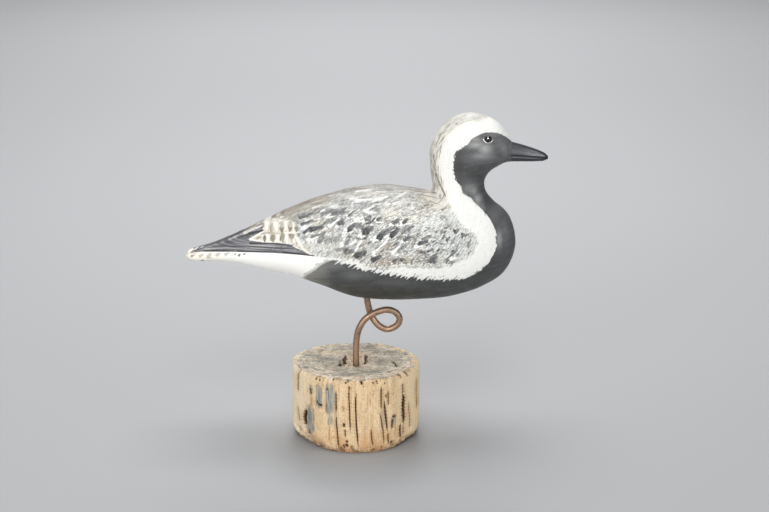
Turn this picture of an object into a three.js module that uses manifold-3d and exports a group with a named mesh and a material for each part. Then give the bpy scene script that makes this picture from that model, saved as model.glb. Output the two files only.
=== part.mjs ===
// A shorebird decoy: a carved and painted wooden plover with glass eyes and a let-in bill,
// held up by a wire leg bent into a loop, which stands in a round block of weathered wood.
// Millimetres, +Z up, +X towards the bill. The origin is the centre of the block's underside.
import * as THREE from "three";
import { mergeVertices } from "three/addons/utils/BufferGeometryUtils.js";
import Module from "manifold-3d";

const wasm = await Module();
wasm.setup();

// Driving dimensions
const BLOCK_DIAMETER = 104;
const BLOCK_HEIGHT = 60;
const WIRE_DIAMETER = 5.2;
const WIRE_IN_BLOCK = 34;
const WIRE_IN_BODY = 27;
const EYE_DIAMETER = 5.8;
const EYE_SHOWS = 1.7;
const GAP = 0.3;

const TAU = 2 * Math.PI;
const radians = THREE.MathUtils.degToRad;

// The bird is given by sections from tail to bill. Each runs from a point on the back line to one on
// the belly line, both [x, z] in side view, and half is half the bird's width there. Through the body
// the sections stand upright, at the breast they fan round to lie flat across the neck, and in the
// head they fan back until they stand upright again where the bill starts.
const BODY_SECTIONS = [
  { place: "tail end", back: [-135.4, 151.2], belly: [-135.4, 149], half: 5 },
  { place: "tail corner", back: [-133.2, 153.6], belly: [-133.2, 147.5], half: 9.6 },
  { place: "tail", back: [-126.5, 155.7], belly: [-126.5, 146.2], half: 12.8 },
  { place: "wing tips", back: [-110, 161], belly: [-110, 146.4], half: 16 },
  { place: "tail root", back: [-93, 168.4], belly: [-94, 145], half: 21 },
  { place: "rump", back: [-73, 178.2], belly: [-75, 140.8], half: 27.2 },
  { place: "lower back", back: [-50, 188.8], belly: [-52, 136], half: 33 },
  { place: "flank", back: [-25, 198], belly: [-28, 127.6], half: 38 },
  { place: "mid back", back: [0, 204.4], belly: [-2, 118], half: 41 },
  { place: "fullest part", back: [24, 206.6], belly: [24, 115.2], half: 42 },
  { place: "shoulder", back: [44, 204.2], belly: [51, 115.6], half: 41 },
  { place: "nape hollow", back: [55.5, 202.4], belly: [77.5, 118.2], half: 38.5 },
  { place: "breast foot", back: [59.6, 202.6], belly: [102.6, 126.5], half: 35 },
  { place: "breast", back: [60.9, 204.6], belly: [120.2, 139.4], half: 30.5 },
  { place: "breast front", back: [61, 207.5], belly: [127.4, 160], half: 26 },
  { place: "neck foot", back: [60.6, 211.5], belly: [122.6, 181.4], half: 22 },
  { place: "lower neck", back: [59.8, 216.5], belly: [110.8, 193], half: 19 },
  { place: "neck", back: [59, 223], belly: [103.9, 201.5], half: 17.6 },
  { place: "throat", back: [58.6, 231], belly: [101.9, 208.6], half: 17.2 },
  { place: "back of head", back: [59.8, 240.4], belly: [102.8, 213.6], half: 17.6 },
  { place: "hind crown", back: [65.8, 251.9], belly: [105.2, 217.6], half: 18.2 },
  { place: "crown", back: [76, 261.1], belly: [107.8, 220.2], half: 18.6 },
  { place: "top of head", back: [89.5, 265.2], belly: [110.8, 222.1], half: 18.2 },
  { place: "eye", back: [102.2, 262.8], belly: [113.8, 223.8], half: 16.4 },
  { place: "forehead", back: [112, 257.6], belly: [116.8, 225.2], half: 13.4 },
  { place: "brow", back: [118.8, 249.4], belly: [119.8, 226.2], half: 10 },
  { place: "bill joint", back: [122.8, 242.6], belly: [122.8, 226.4], half: 7 },
];
const BODY_BLUNTNESS = 2.25;

// The bill, in the same terms. The mouth line is a groove between its upper and lower halves.
const BILL_SECTIONS = [
  { place: "bill joint", back: [123.1, 242], belly: [123.1, 226.5], half: 6.5 },
  { place: "nostril", back: [133.8, 239.1], belly: [133.8, 226.4], half: 5.1 },
  { place: "middle", back: [141.4, 236.6], belly: [141.4, 226.4], half: 4.2 },
  { place: "near tip", back: [148.4, 233.6], belly: [148.2, 226.9], half: 3.1 },
  { place: "tip", back: [151.9, 230.8], belly: [151.7, 228.2], half: 1.3 },
];
const BILL_BLUNTNESS = 2;
const MOUTH_HEIGHT = 0.26;
const MOUTH_HALF_OPENING = 0.035;
const MOUTH_DEPTH = 0.8;

// Where the eyes are set, in side view.
const EYE_AT = { x: 103.2, z: 247.4 };

// The wire leaves the block upright, leans into the top of the loop, runs round it and crosses
// behind itself on its way up into the belly. The loop's arc is an ellipse; the rest is by hand.
const LOOP = { x: 24.2, z: 96, long: 11, high: 8.7, from: 120, to: -90, step: -30 };
const STRANDS_APART = WIRE_DIAMETER + GAP;
const LEG_BELOW_LOOP = [
  [-0.1, 0, 68],
  [0.5, -0.1, 80],
  [2.2, -0.3, 88],
  [5.9, -0.42, 95.2],
  [11.2, -0.5, 100.2],
];
const LEG_ABOVE_LOOP = [
  [18.6, 0.4, 90.1],
  [14.8, 0.47, 94.4],
  [12, 0.5, 99.4],
  [10.4, 0.4, 105],
  [9.3, 0.2, 110.5],
];
const BELLY_HOLE = { x: 8.6, z: 116 };
const BELLY_HOLE_LEAN = 0.03;

// Angles on the block are in degrees round from +X, and the side that shows is about -90.
// Splits follow the grain up the side. A split is widest in its middle and runs out at both ends.
const SPLITS = [
  { angle: -155, low: 34, high: 60, wide: 1.6, deep: 3 },
  { angle: -145, low: 12, high: 32, wide: 2.6, deep: 7 },
  { angle: -108, low: 14, high: 60, wide: 1.2, deep: 4 },
  { angle: -105, low: -14, high: 24, wide: 1.4, deep: 4 },
  { angle: -95, low: 10, high: 63, wide: 1.6, deep: 5 },
  { angle: -88.5, low: -4, high: 56, wide: 2, deep: 6 },
  { angle: -75, low: -10, high: 25, wide: 1.4, deep: 4 },
  { angle: -66, low: 20, high: 66, wide: 1.6, deep: 5 },
  { angle: -61, low: 8, high: 47, wide: 2.2, deep: 6 },
  { angle: -42, low: 10, high: 52, wide: 3.6, deep: 9 },
  { angle: -16, low: 12, high: 64, wide: 1.8, deep: 5 },
  { angle: 22, low: -6, high: 46, wide: 2.2, deep: 6 },
  { angle: 57, low: 16, high: 66, wide: 1.8, deep: 5 },
  { angle: 83, low: -8, high: 38, wide: 2.4, deep: 7 },
  { angle: 118, low: 6, high: 64, wide: 2, deep: 6 },
  { angle: 161, low: -4, high: 50, wide: 2.6, deep: 7 },
];

// Flakes of wood are lost here, leaving shallow scars.
const SCARS = [
  { angle: -128.5, height: 46, wide: 12, tall: 20, deep: 2.6 },
  { angle: -138.5, height: 18, wide: 10, tall: 26, deep: 3 },
  { angle: -138, height: -1, wide: 26, tall: 15, deep: 6 },
  { angle: -54, height: 23, wide: 6, tall: 14, deep: 1.6 },
  { angle: 40, height: 2, wide: 24, tall: 14, deep: 5 },
  { angle: 100, height: 52, wide: 16, tall: 18, deep: 2.4 },
];

// The heart of the wood has rotted out round the wire: a shallow bowl and two deeper pits.
const HEART_ROT = [
  { at: [-0.5, 7, BLOCK_HEIGHT + 2], size: [12.5, 17, 7.5] },
  { at: [-10.2, 2, BLOCK_HEIGHT - 5], size: [3.4, 8, 9] },
  { at: [9.6, 10, BLOCK_HEIGHT - 4], size: [2.6, 5.5, 8] },
];

// Shapes

// A closed skin over a row of rings of points, all with the same number of points.
function skinOver(rings) {
  const sides = rings[0].length;
  const middleOf = (ring) =>
    ring.reduce((sum, p) => sum.add(p), new THREE.Vector3()).divideScalar(sides);
  const points = [...rings.flat(), middleOf(rings[0]), middleOf(rings.at(-1))];
  const firstMiddle = points.length - 2;
  const lastMiddle = points.length - 1;
  const at = (ring, side) => ring * sides + (side % sides);
  const faces = [];
  for (let side = 0; side < sides; side++) {
    faces.push(firstMiddle, at(0, side), at(0, side + 1));
    faces.push(lastMiddle, at(rings.length - 1, side + 1), at(rings.length - 1, side));
    for (let ring = 0; ring < rings.length - 1; ring++) {
      faces.push(at(ring, side), at(ring + 1, side), at(ring, side + 1));
      faces.push(at(ring + 1, side), at(ring + 1, side + 1), at(ring, side + 1));
    }
  }
  const geometry = new THREE.BufferGeometry().setFromPoints(points);
  geometry.setIndex(faces);
  geometry.computeVertexNormals();
  return geometry;
}

// Smooth curves through the sections: t runs from 0 at the first section to 1 at the last.
function smoothSections(sections) {
  const curve = (point) =>
    new THREE.CatmullRomCurve3(sections.map(point), false, "catmullrom", 0.5);
  return {
    back: curve((s) => new THREE.Vector3(s.back[0], 0, s.back[1])),
    belly: curve((s) => new THREE.Vector3(s.belly[0], 0, s.belly[1])),
    half: curve((s) => new THREE.Vector3(s.half, 0, 0)),
  };
}

const signedPower = (value, power) => Math.sign(value) * Math.abs(value) ** power;

// A point of the section at t. turn goes from 0 on the back line, round by the left side.
function sectionPoint(form, t, turn, bluntness) {
  const back = form.back.getPoint(t);
  const belly = form.belly.getPoint(t);
  const across = form.half.getPoint(t).x * signedPower(Math.sin(turn), 2 / bluntness);
  const up = signedPower(Math.cos(turn), 2 / bluntness);
  const point = belly.clone().lerp(back, (1 + up) / 2);
  point.y = across;
  return point;
}

function carvedForm(sections, rings, turns, bluntness) {
  const form = smoothSections(sections);
  return skinOver(
    Array.from({ length: rings }, (_, i) =>
      turns.map((turn) => sectionPoint(form, i / (rings - 1), turn, bluntness)),
    ),
  );
}

const evenTurns = (sides) => Array.from({ length: sides }, (_, k) => (TAU * k) / sides);

// Half the bird's width at a place in side view, read off the nearest point of the skin.
function flankAt({ x, z }) {
  const form = smoothSections(BODY_SECTIONS);
  const steps = 400;
  let nearest = Infinity;
  let width = 0;
  for (let i = 0; i <= steps; i++) {
    for (const turn of evenTurns(180)) {
      const p = sectionPoint(form, i / steps, turn, BODY_BLUNTNESS);
      const distance = Math.hypot(p.x - x, p.z - z);
      if (p.y > 0 && distance < nearest) {
        nearest = distance;
        width = p.y;
      }
    }
  }
  return width;
}

// Cuts and joins

function solidOf(geometry) {
  const bare = geometry.index ? geometry.toNonIndexed() : geometry.clone();
  for (const name of Object.keys(bare.attributes)) {
    if (name !== "position") bare.deleteAttribute(name);
  }
  const merged = mergeVertices(bare, 1e-4);
  return new wasm.Manifold(
    new wasm.Mesh({
      numProp: 3,
      vertProperties: merged.attributes.position.array,
      triVerts: new Uint32Array(merged.index.array),
    }),
  );
}

function geometryOf(solid) {
  const mesh = solid.getMesh();
  const geometry = new THREE.BufferGeometry();
  geometry.setAttribute("position", new THREE.BufferAttribute(mesh.vertProperties, 3));
  geometry.setIndex(new THREE.BufferAttribute(mesh.triVerts, 1));
  geometry.computeVertexNormals();
  return geometry;
}

const cutFrom = (geometry, cutters) =>
  geometryOf(cutters.reduce((solid, cutter) => solid.subtract(solidOf(cutter)), solidOf(geometry)));

function ball(radius, at, segments = 14) {
  return new THREE.SphereGeometry(radius, segments, segments / 2 + 1).translate(...at);
}

function ellipsoid([x, y, z], at) {
  return new THREE.SphereGeometry(1, 14, 8).scale(x, y, z).translate(...at);
}

// Wire leg

function wirePath(extraLength) {
  const bottom = BLOCK_HEIGHT - WIRE_IN_BLOCK - extraLength;
  const top = BELLY_HOLE.z + WIRE_IN_BODY + extraLength;
  const strand = ([x, side, z]) => new THREE.Vector3(x, side * STRANDS_APART, z);
  const loop = [];
  for (let angle = LOOP.from; angle >= LOOP.to; angle += LOOP.step) {
    const side = (LOOP.from - angle) / (LOOP.from - LOOP.to) - 0.5;
    const turn = radians(angle);
    loop.push([
      LOOP.x + LOOP.long * Math.cos(turn),
      side * 0.8,
      LOOP.z + LOOP.high * Math.sin(turn),
    ]);
  }
  return new THREE.CatmullRomCurve3(
    [
      [0, 0, bottom],
      [0, 0, BLOCK_HEIGHT - 8],
      ...LEG_BELOW_LOOP,
      ...loop,
      ...LEG_ABOVE_LOOP,
      [BELLY_HOLE.x, 0, BELLY_HOLE.z],
      [BELLY_HOLE.x - BELLY_HOLE_LEAN * (top - BELLY_HOLE.z), 0, top],
    ].map(strand),
  );
}

function wireTube(radius, extraLength, sides, steps) {
  const outline = evenTurns(sides).map(
    (turn) => new THREE.Vector2(radius * Math.cos(turn), radius * Math.sin(turn)),
  );
  return new THREE.ExtrudeGeometry(new THREE.Shape(outline), {
    extrudePath: wirePath(extraLength),
    steps,
    bevelEnabled: false,
  });
}

const WIRE_SIDES = 10;
const WIRE_STEPS = 78;
// A many-sided bore is narrower across its flats than its corners say.
const boreRadius = (WIRE_DIAMETER / 2 + GAP) / Math.cos(Math.PI / WIRE_SIDES);
const wireBore = () => wireTube(boreRadius, 2 * GAP, WIRE_SIDES, WIRE_STEPS);
const wireLeg = () => wireTube(WIRE_DIAMETER / 2, 0, WIRE_SIDES, WIRE_STEPS);

// Bird

const eyeRadius = EYE_DIAMETER / 2;
const eyeAcross = flankAt(EYE_AT) - eyeRadius + EYE_SHOWS;
const eyeCentre = (side) => [EYE_AT.x, side * eyeAcross, EYE_AT.z];
const glassEye = (side) => ball(eyeRadius, eyeCentre(side));
const eyeSocket = (side) => ball(eyeRadius + GAP, eyeCentre(side));

function birdBody() {
  const carving = carvedForm(BODY_SECTIONS, 67, evenTurns(30), BODY_BLUNTNESS);
  return cutFrom(carving, [wireBore(), eyeSocket(1), eyeSocket(-1)]);
}

// The bill's section is a plain oval with a notch on each side at the mouth line.
function bill() {
  const turnAtHeight = (height) => Math.acos(2 * height - 1);
  const [top, line, bottom] = [
    MOUTH_HEIGHT + MOUTH_HALF_OPENING,
    MOUTH_HEIGHT,
    MOUTH_HEIGHT - MOUTH_HALF_OPENING,
  ].map(turnAtHeight);
  const between = (a, b, count) =>
    Array.from({ length: count }, (_, k) => a + ((b - a) * k) / count);
  const left = [...between(0, top, 6), top, line, ...between(bottom, Math.PI, 3)];
  const right = left.slice(1).map((turn) => TAU - turn);
  const turns = [...left, Math.PI, ...right.reverse()];
  const form = smoothSections(BILL_SECTIONS);
  const rings = 15;
  return skinOver(
    Array.from({ length: rings }, (_, i) => {
      const t = i / (rings - 1);
      return turns.map((turn) => {
        const point = sectionPoint(form, t, turn, BILL_BLUNTNESS);
        const inGroove = turn === line || turn === TAU - line;
        const depth = inGroove ? MOUTH_DEPTH * (1 - t * 0.6) : 0;
        point.y -= Math.sign(point.y) * Math.min(depth, Math.abs(point.y) * 0.5);
        return point;
      });
    }),
  );
}

// Weathered block

// The trunk was never quite round, and its edges have worn away, most of all to left and right.
function blockOutline(turn) {
  const trunk = BLOCK_DIAMETER / 2 - 0.6 - 0.6 * Math.cos(turn) + 0.5 * Math.sin(2 * turn + 0.7);
  return trunk + 0.35 * Math.sin(5 * turn + 1.9) + 0.25 * Math.sin(9 * turn);
}
const footWear = (turn) => 2.5 + 5.5 * Math.cos(turn) ** 2;
const rimWear = (turn) => 2.4 + 1.1 * Math.sin(3 * turn + 0.5) + 0.6 * Math.sin(7 * turn);

// The block's profile from the middle of its underside, up the side, and in over the top.
function blockPoint(turn, step) {
  const radius = blockOutline(turn);
  const foot = footWear(turn);
  const rim = rimWear(turn);
  const quarter = (share) => (share * Math.PI) / 2;
  const profile = {
    underside: (s) => [(radius - foot) * s, 0],
    foot: (s) => [radius - foot * (1 - Math.sin(quarter(s))), 1.5 * foot * (1 - Math.cos(quarter(s)))],
    side: (s) => [radius, THREE.MathUtils.lerp(1.5 * foot, BLOCK_HEIGHT - 1.2 * rim, s)],
    rim: (s) => [
      radius - rim * (1 - Math.cos(quarter(s))),
      BLOCK_HEIGHT - 1.2 * rim * (1 - Math.sin(quarter(s))),
    ],
    top: (s) => [(radius - rim) * (1 - s), BLOCK_HEIGHT - 1.2 * s],
  };
  const [r, z] = profile[step.part](step.share);
  // Turning clockwise seen from above keeps the faces pointing out.
  return new THREE.Vector3(r * Math.cos(turn), -r * Math.sin(turn), z);
}

function radialCutter(geometry, angle, height, inset) {
  const out = BLOCK_DIAMETER / 2 - inset;
  return geometry
    .translate(out, 0, height)
    .rotateZ(radians(angle));
}

function splitCutter({ angle, low, high, wide, deep }) {
  const blade = new THREE.OctahedronGeometry(1).scale(deep, wide / 2, (high - low) / 2);
  return radialCutter(blade, angle, (high + low) / 2, 0);
}

function scarCutter({ angle, height, wide, tall, deep }) {
  const gouge = new THREE.SphereGeometry(1, 10, 7).scale(deep + 1, wide / 2, tall / 2);
  return radialCutter(gouge, angle, height, -1);
}

function woodBlock() {
  const steps = [
    { part: "underside", share: 0.6 },
    ...[0, 0.33, 0.67].map((share) => ({ part: "foot", share })),
    ...[0, 1].map((share) => ({ part: "side", share })),
    ...[0.4, 0.8].map((share) => ({ part: "rim", share })),
    ...[0, 0.5].map((share) => ({ part: "top", share })),
  ];
  const rings = steps.map((step) => evenTurns(50).map((turn) => blockPoint(turn, step)));
  const rot = HEART_ROT.map(({ at, size }) => ellipsoid(size, at));
  const splits = SPLITS.map(splitCutter);
  const scars = SCARS.map(scarCutter);
  return cutFrom(skinOver(rings), [...scars, ...splits, ...rot, wireBore()]);
}

// The whole decoy

const paint = (color, roughness) =>
  new THREE.MeshStandardMaterial({ color, roughness, metalness: 0 });
const MATERIALS = {
  plumage: paint(0x8c8a86, 0.75),
  billPaint: paint(0x2b2c2e, 0.35),
  glass: paint(0x120d0a, 0.05),
  wire: new THREE.MeshStandardMaterial({ color: 0x8a5f48, roughness: 0.45, metalness: 0.8 }),
  oldWood: paint(0xcba877, 0.9),
};

const decoy = new THREE.Group();
decoy.name = "shorebird_decoy";

function addPiece(name, geometry, material) {
  const mesh = new THREE.Mesh(geometry, material);
  mesh.name = name;
  decoy.add(mesh);
}

addPiece("bird_body", birdBody(), MATERIALS.plumage);
addPiece("bill", bill(), MATERIALS.billPaint);
addPiece("glass_eye_left", glassEye(1), MATERIALS.glass);
addPiece("glass_eye_right", glassEye(-1), MATERIALS.glass);
addPiece("wire_leg", wireLeg(), MATERIALS.wire);
addPiece("wood_block", woodBlock(), MATERIALS.oldWood);

export default decoy;
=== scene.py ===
# %% [markdown]
# The object is a shorebird decoy: a plover carved from wood and painted by hand, with glass eyes and a
# separate bill. A thick copper-coloured wire, bent into one loop, holds it up on a round block of old,
# weathered wood. The solids of every piece come packed from the CAD model. They are loaded first and are
# never moved. Each piece here is a finer mesh in the same place, with a painted or weathered finish.

# %% Load the frame
from math import cos, radians, sin

import bpy
import numpy as np
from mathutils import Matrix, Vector, noise


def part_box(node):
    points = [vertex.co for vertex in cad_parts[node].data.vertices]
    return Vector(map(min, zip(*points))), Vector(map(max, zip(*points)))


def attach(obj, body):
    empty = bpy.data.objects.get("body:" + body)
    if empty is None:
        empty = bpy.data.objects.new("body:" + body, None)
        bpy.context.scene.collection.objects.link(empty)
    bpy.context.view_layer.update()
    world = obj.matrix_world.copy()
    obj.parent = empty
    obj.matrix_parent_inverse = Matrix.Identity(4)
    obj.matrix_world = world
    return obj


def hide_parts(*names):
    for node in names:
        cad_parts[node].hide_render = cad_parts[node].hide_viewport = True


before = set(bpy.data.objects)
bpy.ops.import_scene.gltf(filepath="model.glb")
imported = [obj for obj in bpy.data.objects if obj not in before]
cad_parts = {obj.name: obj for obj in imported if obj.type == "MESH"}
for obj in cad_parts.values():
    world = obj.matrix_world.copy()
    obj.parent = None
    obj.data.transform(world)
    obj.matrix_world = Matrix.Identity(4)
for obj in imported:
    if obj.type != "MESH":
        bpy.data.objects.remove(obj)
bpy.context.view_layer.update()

# %% [markdown]
# The camera comes first, because the paint is laid out in the picture that it takes. It looks square at
# the bird's right side, and a little down. Its pitch, its distance and its long lens were fitted until
# the outline and the oval of the block's top matched the photograph.

# %% Camera
MM = 0.001
PICTURE_WIDTH, PICTURE_HEIGHT = 769, 512
CAMERA_PITCH = radians(15)
CAMERA_DISTANCE = 1500 * MM
CAMERA_LENS = 87.8
SENSOR_WIDTH = 36.0
LOOK_AT = np.array([23, 0, 149]) * MM

ahead = np.array([0, cos(CAMERA_PITCH), -sin(CAMERA_PITCH)])
upward = np.array([0, sin(CAMERA_PITCH), cos(CAMERA_PITCH)])
camera_place = LOOK_AT - ahead * CAMERA_DISTANCE

camera_data = bpy.data.cameras.new("camera")
camera_data.lens = CAMERA_LENS
camera_data.sensor_width = SENSOR_WIDTH
camera_data.clip_end = 50
camera = bpy.data.objects.new("camera", camera_data)
camera.location = camera_place
camera.rotation_euler = (radians(90) - CAMERA_PITCH, 0, 0)
bpy.context.collection.objects.link(camera)
bpy.context.scene.camera = camera


def seen(points):
    """Where points of the object fall in the picture, in pixels from its top left corner."""
    away = points - camera_place
    scale = CAMERA_LENS / SENSOR_WIDTH * PICTURE_WIDTH / (away @ ahead)
    right, down = away[..., 0] * scale, -(away @ upward) * scale
    return np.stack([PICTURE_WIDTH / 2 + right, PICTURE_HEIGHT / 2 + down], axis=-1)


def sight(place):
    """The direction of the line of sight through a place in the picture."""
    across, down = (np.array(place) - (PICTURE_WIDTH / 2, PICTURE_HEIGHT / 2)) / PICTURE_WIDTH
    line = ahead + (across * np.array([1, 0, 0]) - down * upward) * SENSOR_WIDTH / CAMERA_LENS
    return line / np.linalg.norm(line)


print("the middle of the block's top is seen at", seen(np.array([0, 0, 60]) * MM).round(1))

# %% [markdown]
# Every piece is a mesh laid out as a grid: rings of points round it, joined ring to ring, with one more
# point to close each end. Subdivision surfaces or sculpting could make such forms too. A grid is used
# because its points stay evenly spaced, so fine relief and painted marks can be stored at the points.

# %% Grid meshes
def piece_from_rings(name, rings):
    """A closed mesh over rings[ring, side, xyz], in metres."""
    count, sides = rings.shape[:2]
    ring, side = np.meshgrid(np.arange(count - 1), np.arange(sides), indexing="ij")
    after = (side + 1) % sides
    here, beyond = ring * sides, (ring + 1) * sides
    corners = [here + side, beyond + side, beyond + after, here + after]
    points = np.vstack([rings.reshape(-1, 3), rings[0].mean(axis=0), rings[-1].mean(axis=0)])
    first, last = len(points) - 2, len(points) - 1
    base = (count - 1) * sides
    faces = np.stack(corners, axis=-1).reshape(-1, 4).tolist()
    faces += [[first, k, (k + 1) % sides] for k in range(sides)]
    faces += [[last, base + (k + 1) % sides, base + k] for k in range(sides)]
    mesh = bpy.data.meshes.new(name)
    mesh.from_pydata(points.tolist(), [], faces)
    mesh.shade_smooth()
    mesh.validate()
    piece = bpy.data.objects.new(name, mesh)
    bpy.context.collection.objects.link(piece)
    print(name, len(points), "points")
    return piece


def read(values, field):
    """Three numbers for each point of a mesh, such as its place or the direction it faces."""
    flat = np.empty(len(values) * 3)
    values.foreach_get(field, flat)
    return flat.reshape(-1, 3)


def store(piece, name, values):
    """Keeps one number for each point of a piece, for its material to read."""
    piece.data.attributes.new(name, "FLOAT", "POINT").data.foreach_set("value", values.astype(np.float32))


# %% [markdown]
# The bird is carved through sections from tail to bill. Each section is known by its point on the back
# line, its point on the belly line and half its width, the same numbers as in the solid. Between them the
# shape follows smooth curves. The finer mesh reads the same curves at many more places.

# %% Body sections
# Name, X and Z on the back line, X and Z on the belly line, half the width, all in millimetres.
BODY_SECTIONS = [
    ("tail end", (-135.4, 151.2), (-135.4, 149), 5),
    ("tail corner", (-133.2, 153.6), (-133.2, 147.5), 9.6),
    ("tail", (-126.5, 155.7), (-126.5, 146.2), 12.8),
    ("wing tips", (-110, 161), (-110, 146.4), 16),
    ("tail root", (-93, 168.4), (-94, 145), 21),
    ("rump", (-73, 178.2), (-75, 140.8), 27.2),
    ("lower back", (-50, 188.8), (-52, 136), 33),
    ("flank", (-25, 198), (-28, 127.6), 38),
    ("mid back", (0, 204.4), (-2, 118), 41),
    ("fullest part", (24, 206.6), (24, 115.2), 42),
    ("shoulder", (44, 204.2), (51, 115.6), 41),
    ("nape hollow", (55.5, 202.4), (77.5, 118.2), 38.5),
    ("breast foot", (59.6, 202.6), (102.6, 126.5), 35),
    ("breast", (60.9, 204.6), (120.2, 139.4), 30.5),
    ("breast front", (61, 207.5), (127.4, 160), 26),
    ("neck foot", (60.6, 211.5), (122.6, 181.4), 22),
    ("lower neck", (59.8, 216.5), (110.8, 193), 19),
    ("neck", (59, 223), (103.9, 201.5), 17.6),
    ("throat", (58.6, 231), (101.9, 208.6), 17.2),
    ("back of head", (59.8, 240.4), (102.8, 213.6), 17.6),
    ("hind crown", (65.8, 251.9), (105.2, 217.6), 18.2),
    ("crown", (76, 261.1), (107.8, 220.2), 18.6),
    ("top of head", (89.5, 265.2), (110.8, 222.1), 18.2),
    ("eye", (102.2, 262.8), (113.8, 223.8), 16.4),
    ("forehead", (112, 257.6), (116.8, 225.2), 13.4),
    ("brow", (118.8, 249.4), (119.8, 226.2), 10),
    ("bill joint", (122.8, 242.6), (122.8, 226.4), 7),
]
BODY_BLUNTNESS = 2.25


def curve(start, end, rise, fall, part):
    """The cubic curve that leaves start along rise and reaches end along fall."""
    cubic = 2 * start - 2 * end + rise + fall
    square = -3 * start + 3 * end - 2 * rise - fall
    return ((cubic * part + square) * part + rise) * part + start


def smooth(values, t):
    """The even curve through values, read at each t from 0 to 1."""
    row = np.asarray(values, float).reshape(len(values), -1)
    row = np.vstack([2 * row[0] - row[1], row, 2 * row[-1] - row[-2]])
    place = np.clip(t, 0, 1) * (len(values) - 1)
    at = np.minimum(place.astype(int), len(values) - 2)
    part = (place - at)[:, None]
    before, start, end, after = row[at], row[at + 1], row[at + 2], row[at + 3]
    return curve(start, end, (end - before) / 2, (after - start) / 2, part)


def carved(sections, t, turn, bluntness):
    """Points [t, turn] of a carved form. turn goes from 0 on the back line, round by the left side."""
    back = smooth([s[1] for s in sections], t)[:, None]
    belly = smooth([s[2] for s in sections], t)[:, None]
    half = smooth([s[3] for s in sections], t)
    up, across = (np.sign(f) * np.abs(f) ** (2 / bluntness) for f in (np.cos(turn), np.sin(turn)))
    outline = belly + (back - belly) * ((1 + up) / 2)[None, :, None]
    return np.stack([outline[..., 0], half * across, outline[..., 1]], axis=-1) * MM


def evenly(values, steps, count):
    """The values read at even spacing, where steps are the lengths from each to the next."""
    reached = np.append(0, np.cumsum(steps))
    return np.interp(np.linspace(0, reached[-1], count), reached, values)


def even_steps(sections, count, closeness=lambda t: 1):
    """Values of t that step evenly along the form, or closer where closeness is greater."""
    t = np.linspace(0, 1, 4001)
    lines = [smooth([s[k] for s in sections], t) for k in (1, 2)]
    along = sum(np.linalg.norm(np.diff(line, axis=0), axis=1) for line in lines)
    return evenly(t, along * closeness(t[1:]), count)


print("body sections:", len(BODY_SECTIONS), "from", BODY_SECTIONS[0][0], "to", BODY_SECTIONS[-1][0])

# %% Body mesh
# More rings and more points are spent where the small feathers of the back and the wings are painted.
BODY_RINGS, BODY_SIDES = 412, 240
FINEST_TURN, FINE_SPREAD, FINER_ROUND, FINER_ALONG = 1.1, 0.75, 0.7, 0.8
FINE_SECTIONS = (2.5, 11.5)

fine_turn = np.linspace(0, np.pi, 2001)
crowding = 1 + FINER_ROUND * np.exp(-(((fine_turn - FINEST_TURN) / FINE_SPREAD) ** 2))
half_turns = evenly(fine_turn, (crowding[1:] + crowding[:-1]) / 2, BODY_SIDES // 2 + 1)
turns = np.concatenate([half_turns, 2 * np.pi - half_turns[-2:0:-1]])


def finer_on_back(t):
    """How closely the rings stand: closest from the wing tips to the nape."""
    section = t * (len(BODY_SECTIONS) - 1)
    return 1 + FINER_ALONG * np.clip(np.minimum(section - FINE_SECTIONS[0], FINE_SECTIONS[1] - section), 0, 1)


body_steps = even_steps(BODY_SECTIONS, BODY_RINGS, finer_on_back)
body_rings = carved(BODY_SECTIONS, body_steps, turns, BODY_BLUNTNESS)
steps_down = np.linalg.norm(np.diff(body_rings[:, : BODY_SIDES // 2 + 1], axis=1), axis=2)
down_right = np.concatenate([np.zeros((BODY_RINGS, 1)), np.cumsum(steps_down, axis=1)], axis=1)
from_back_line = np.concatenate([down_right, down_right[:, -2:0:-1]], axis=1)
bird = piece_from_rings("painted_bird", body_rings)

# %% [markdown]
# A knife and sandpaper leave carved wood a little uneven, and the carver cut a socket for each eye, with
# a low rim like an eyelid round it. Both are moves of the mesh's points along the way they face, so they
# are real relief and not only shading.

# %% Carver's marks and eye sockets
EYE_AT = np.array([103.7, 247.4]) * MM
EYE_RADIUS = 2.9 * MM
LID_RADIUS, LID_WIDTH, LID_HEIGHT = 3.3 * MM, 0.6 * MM, 0.2 * MM
SOCKET_RADIUS, SOCKET_DEPTH = 2.45 * MM, 2.4 * MM
HEAD_STARTS_AT = 225 * MM
HOLLOW_DEPTH, HOLLOW_SPACING = 0.12 * MM, 14 * MM

bird_points = read(bird.data.vertices, "co")
facing = read(bird.data.vertex_normals, "vector")
hollows = np.array([noise.noise(Vector(point / HOLLOW_SPACING)) for point in bird_points]) * HOLLOW_DEPTH
from_eye = np.hypot(bird_points[:, 0] - EYE_AT[0], bird_points[:, 2] - EYE_AT[1])
lid = LID_HEIGHT * np.exp(-(((from_eye - LID_RADIUS) / LID_WIDTH) ** 2))
socket = -SOCKET_DEPTH * np.clip(1 - (from_eye / SOCKET_RADIUS) ** 2, 0, 1) ** 0.5
beside_head = (np.abs(facing[:, 1]) > 0.5) & (bird_points[:, 2] > HEAD_STARTS_AT)
relief = hollows + np.where(beside_head, lid + socket, 0)
bird_points = bird_points + facing * relief[:, None]
bird.data.vertices.foreach_set("co", bird_points.ravel())
bird.data.update()
print("relief in millimetres:", (relief.min() / MM).round(2), "to", (relief.max() / MM).round(2))

# %% [markdown]
# The plumage is laid out as a painter would block it in: first the edges of the large colours, read in
# the picture, then single brush marks. Both sides of the bird are painted alike, so each point of the
# left side takes the paint of its mirror point on the right. What is stored at each point is a distance,
# how far inside an edge it lies. The material then breaks that edge up finer than the mesh could.

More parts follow.
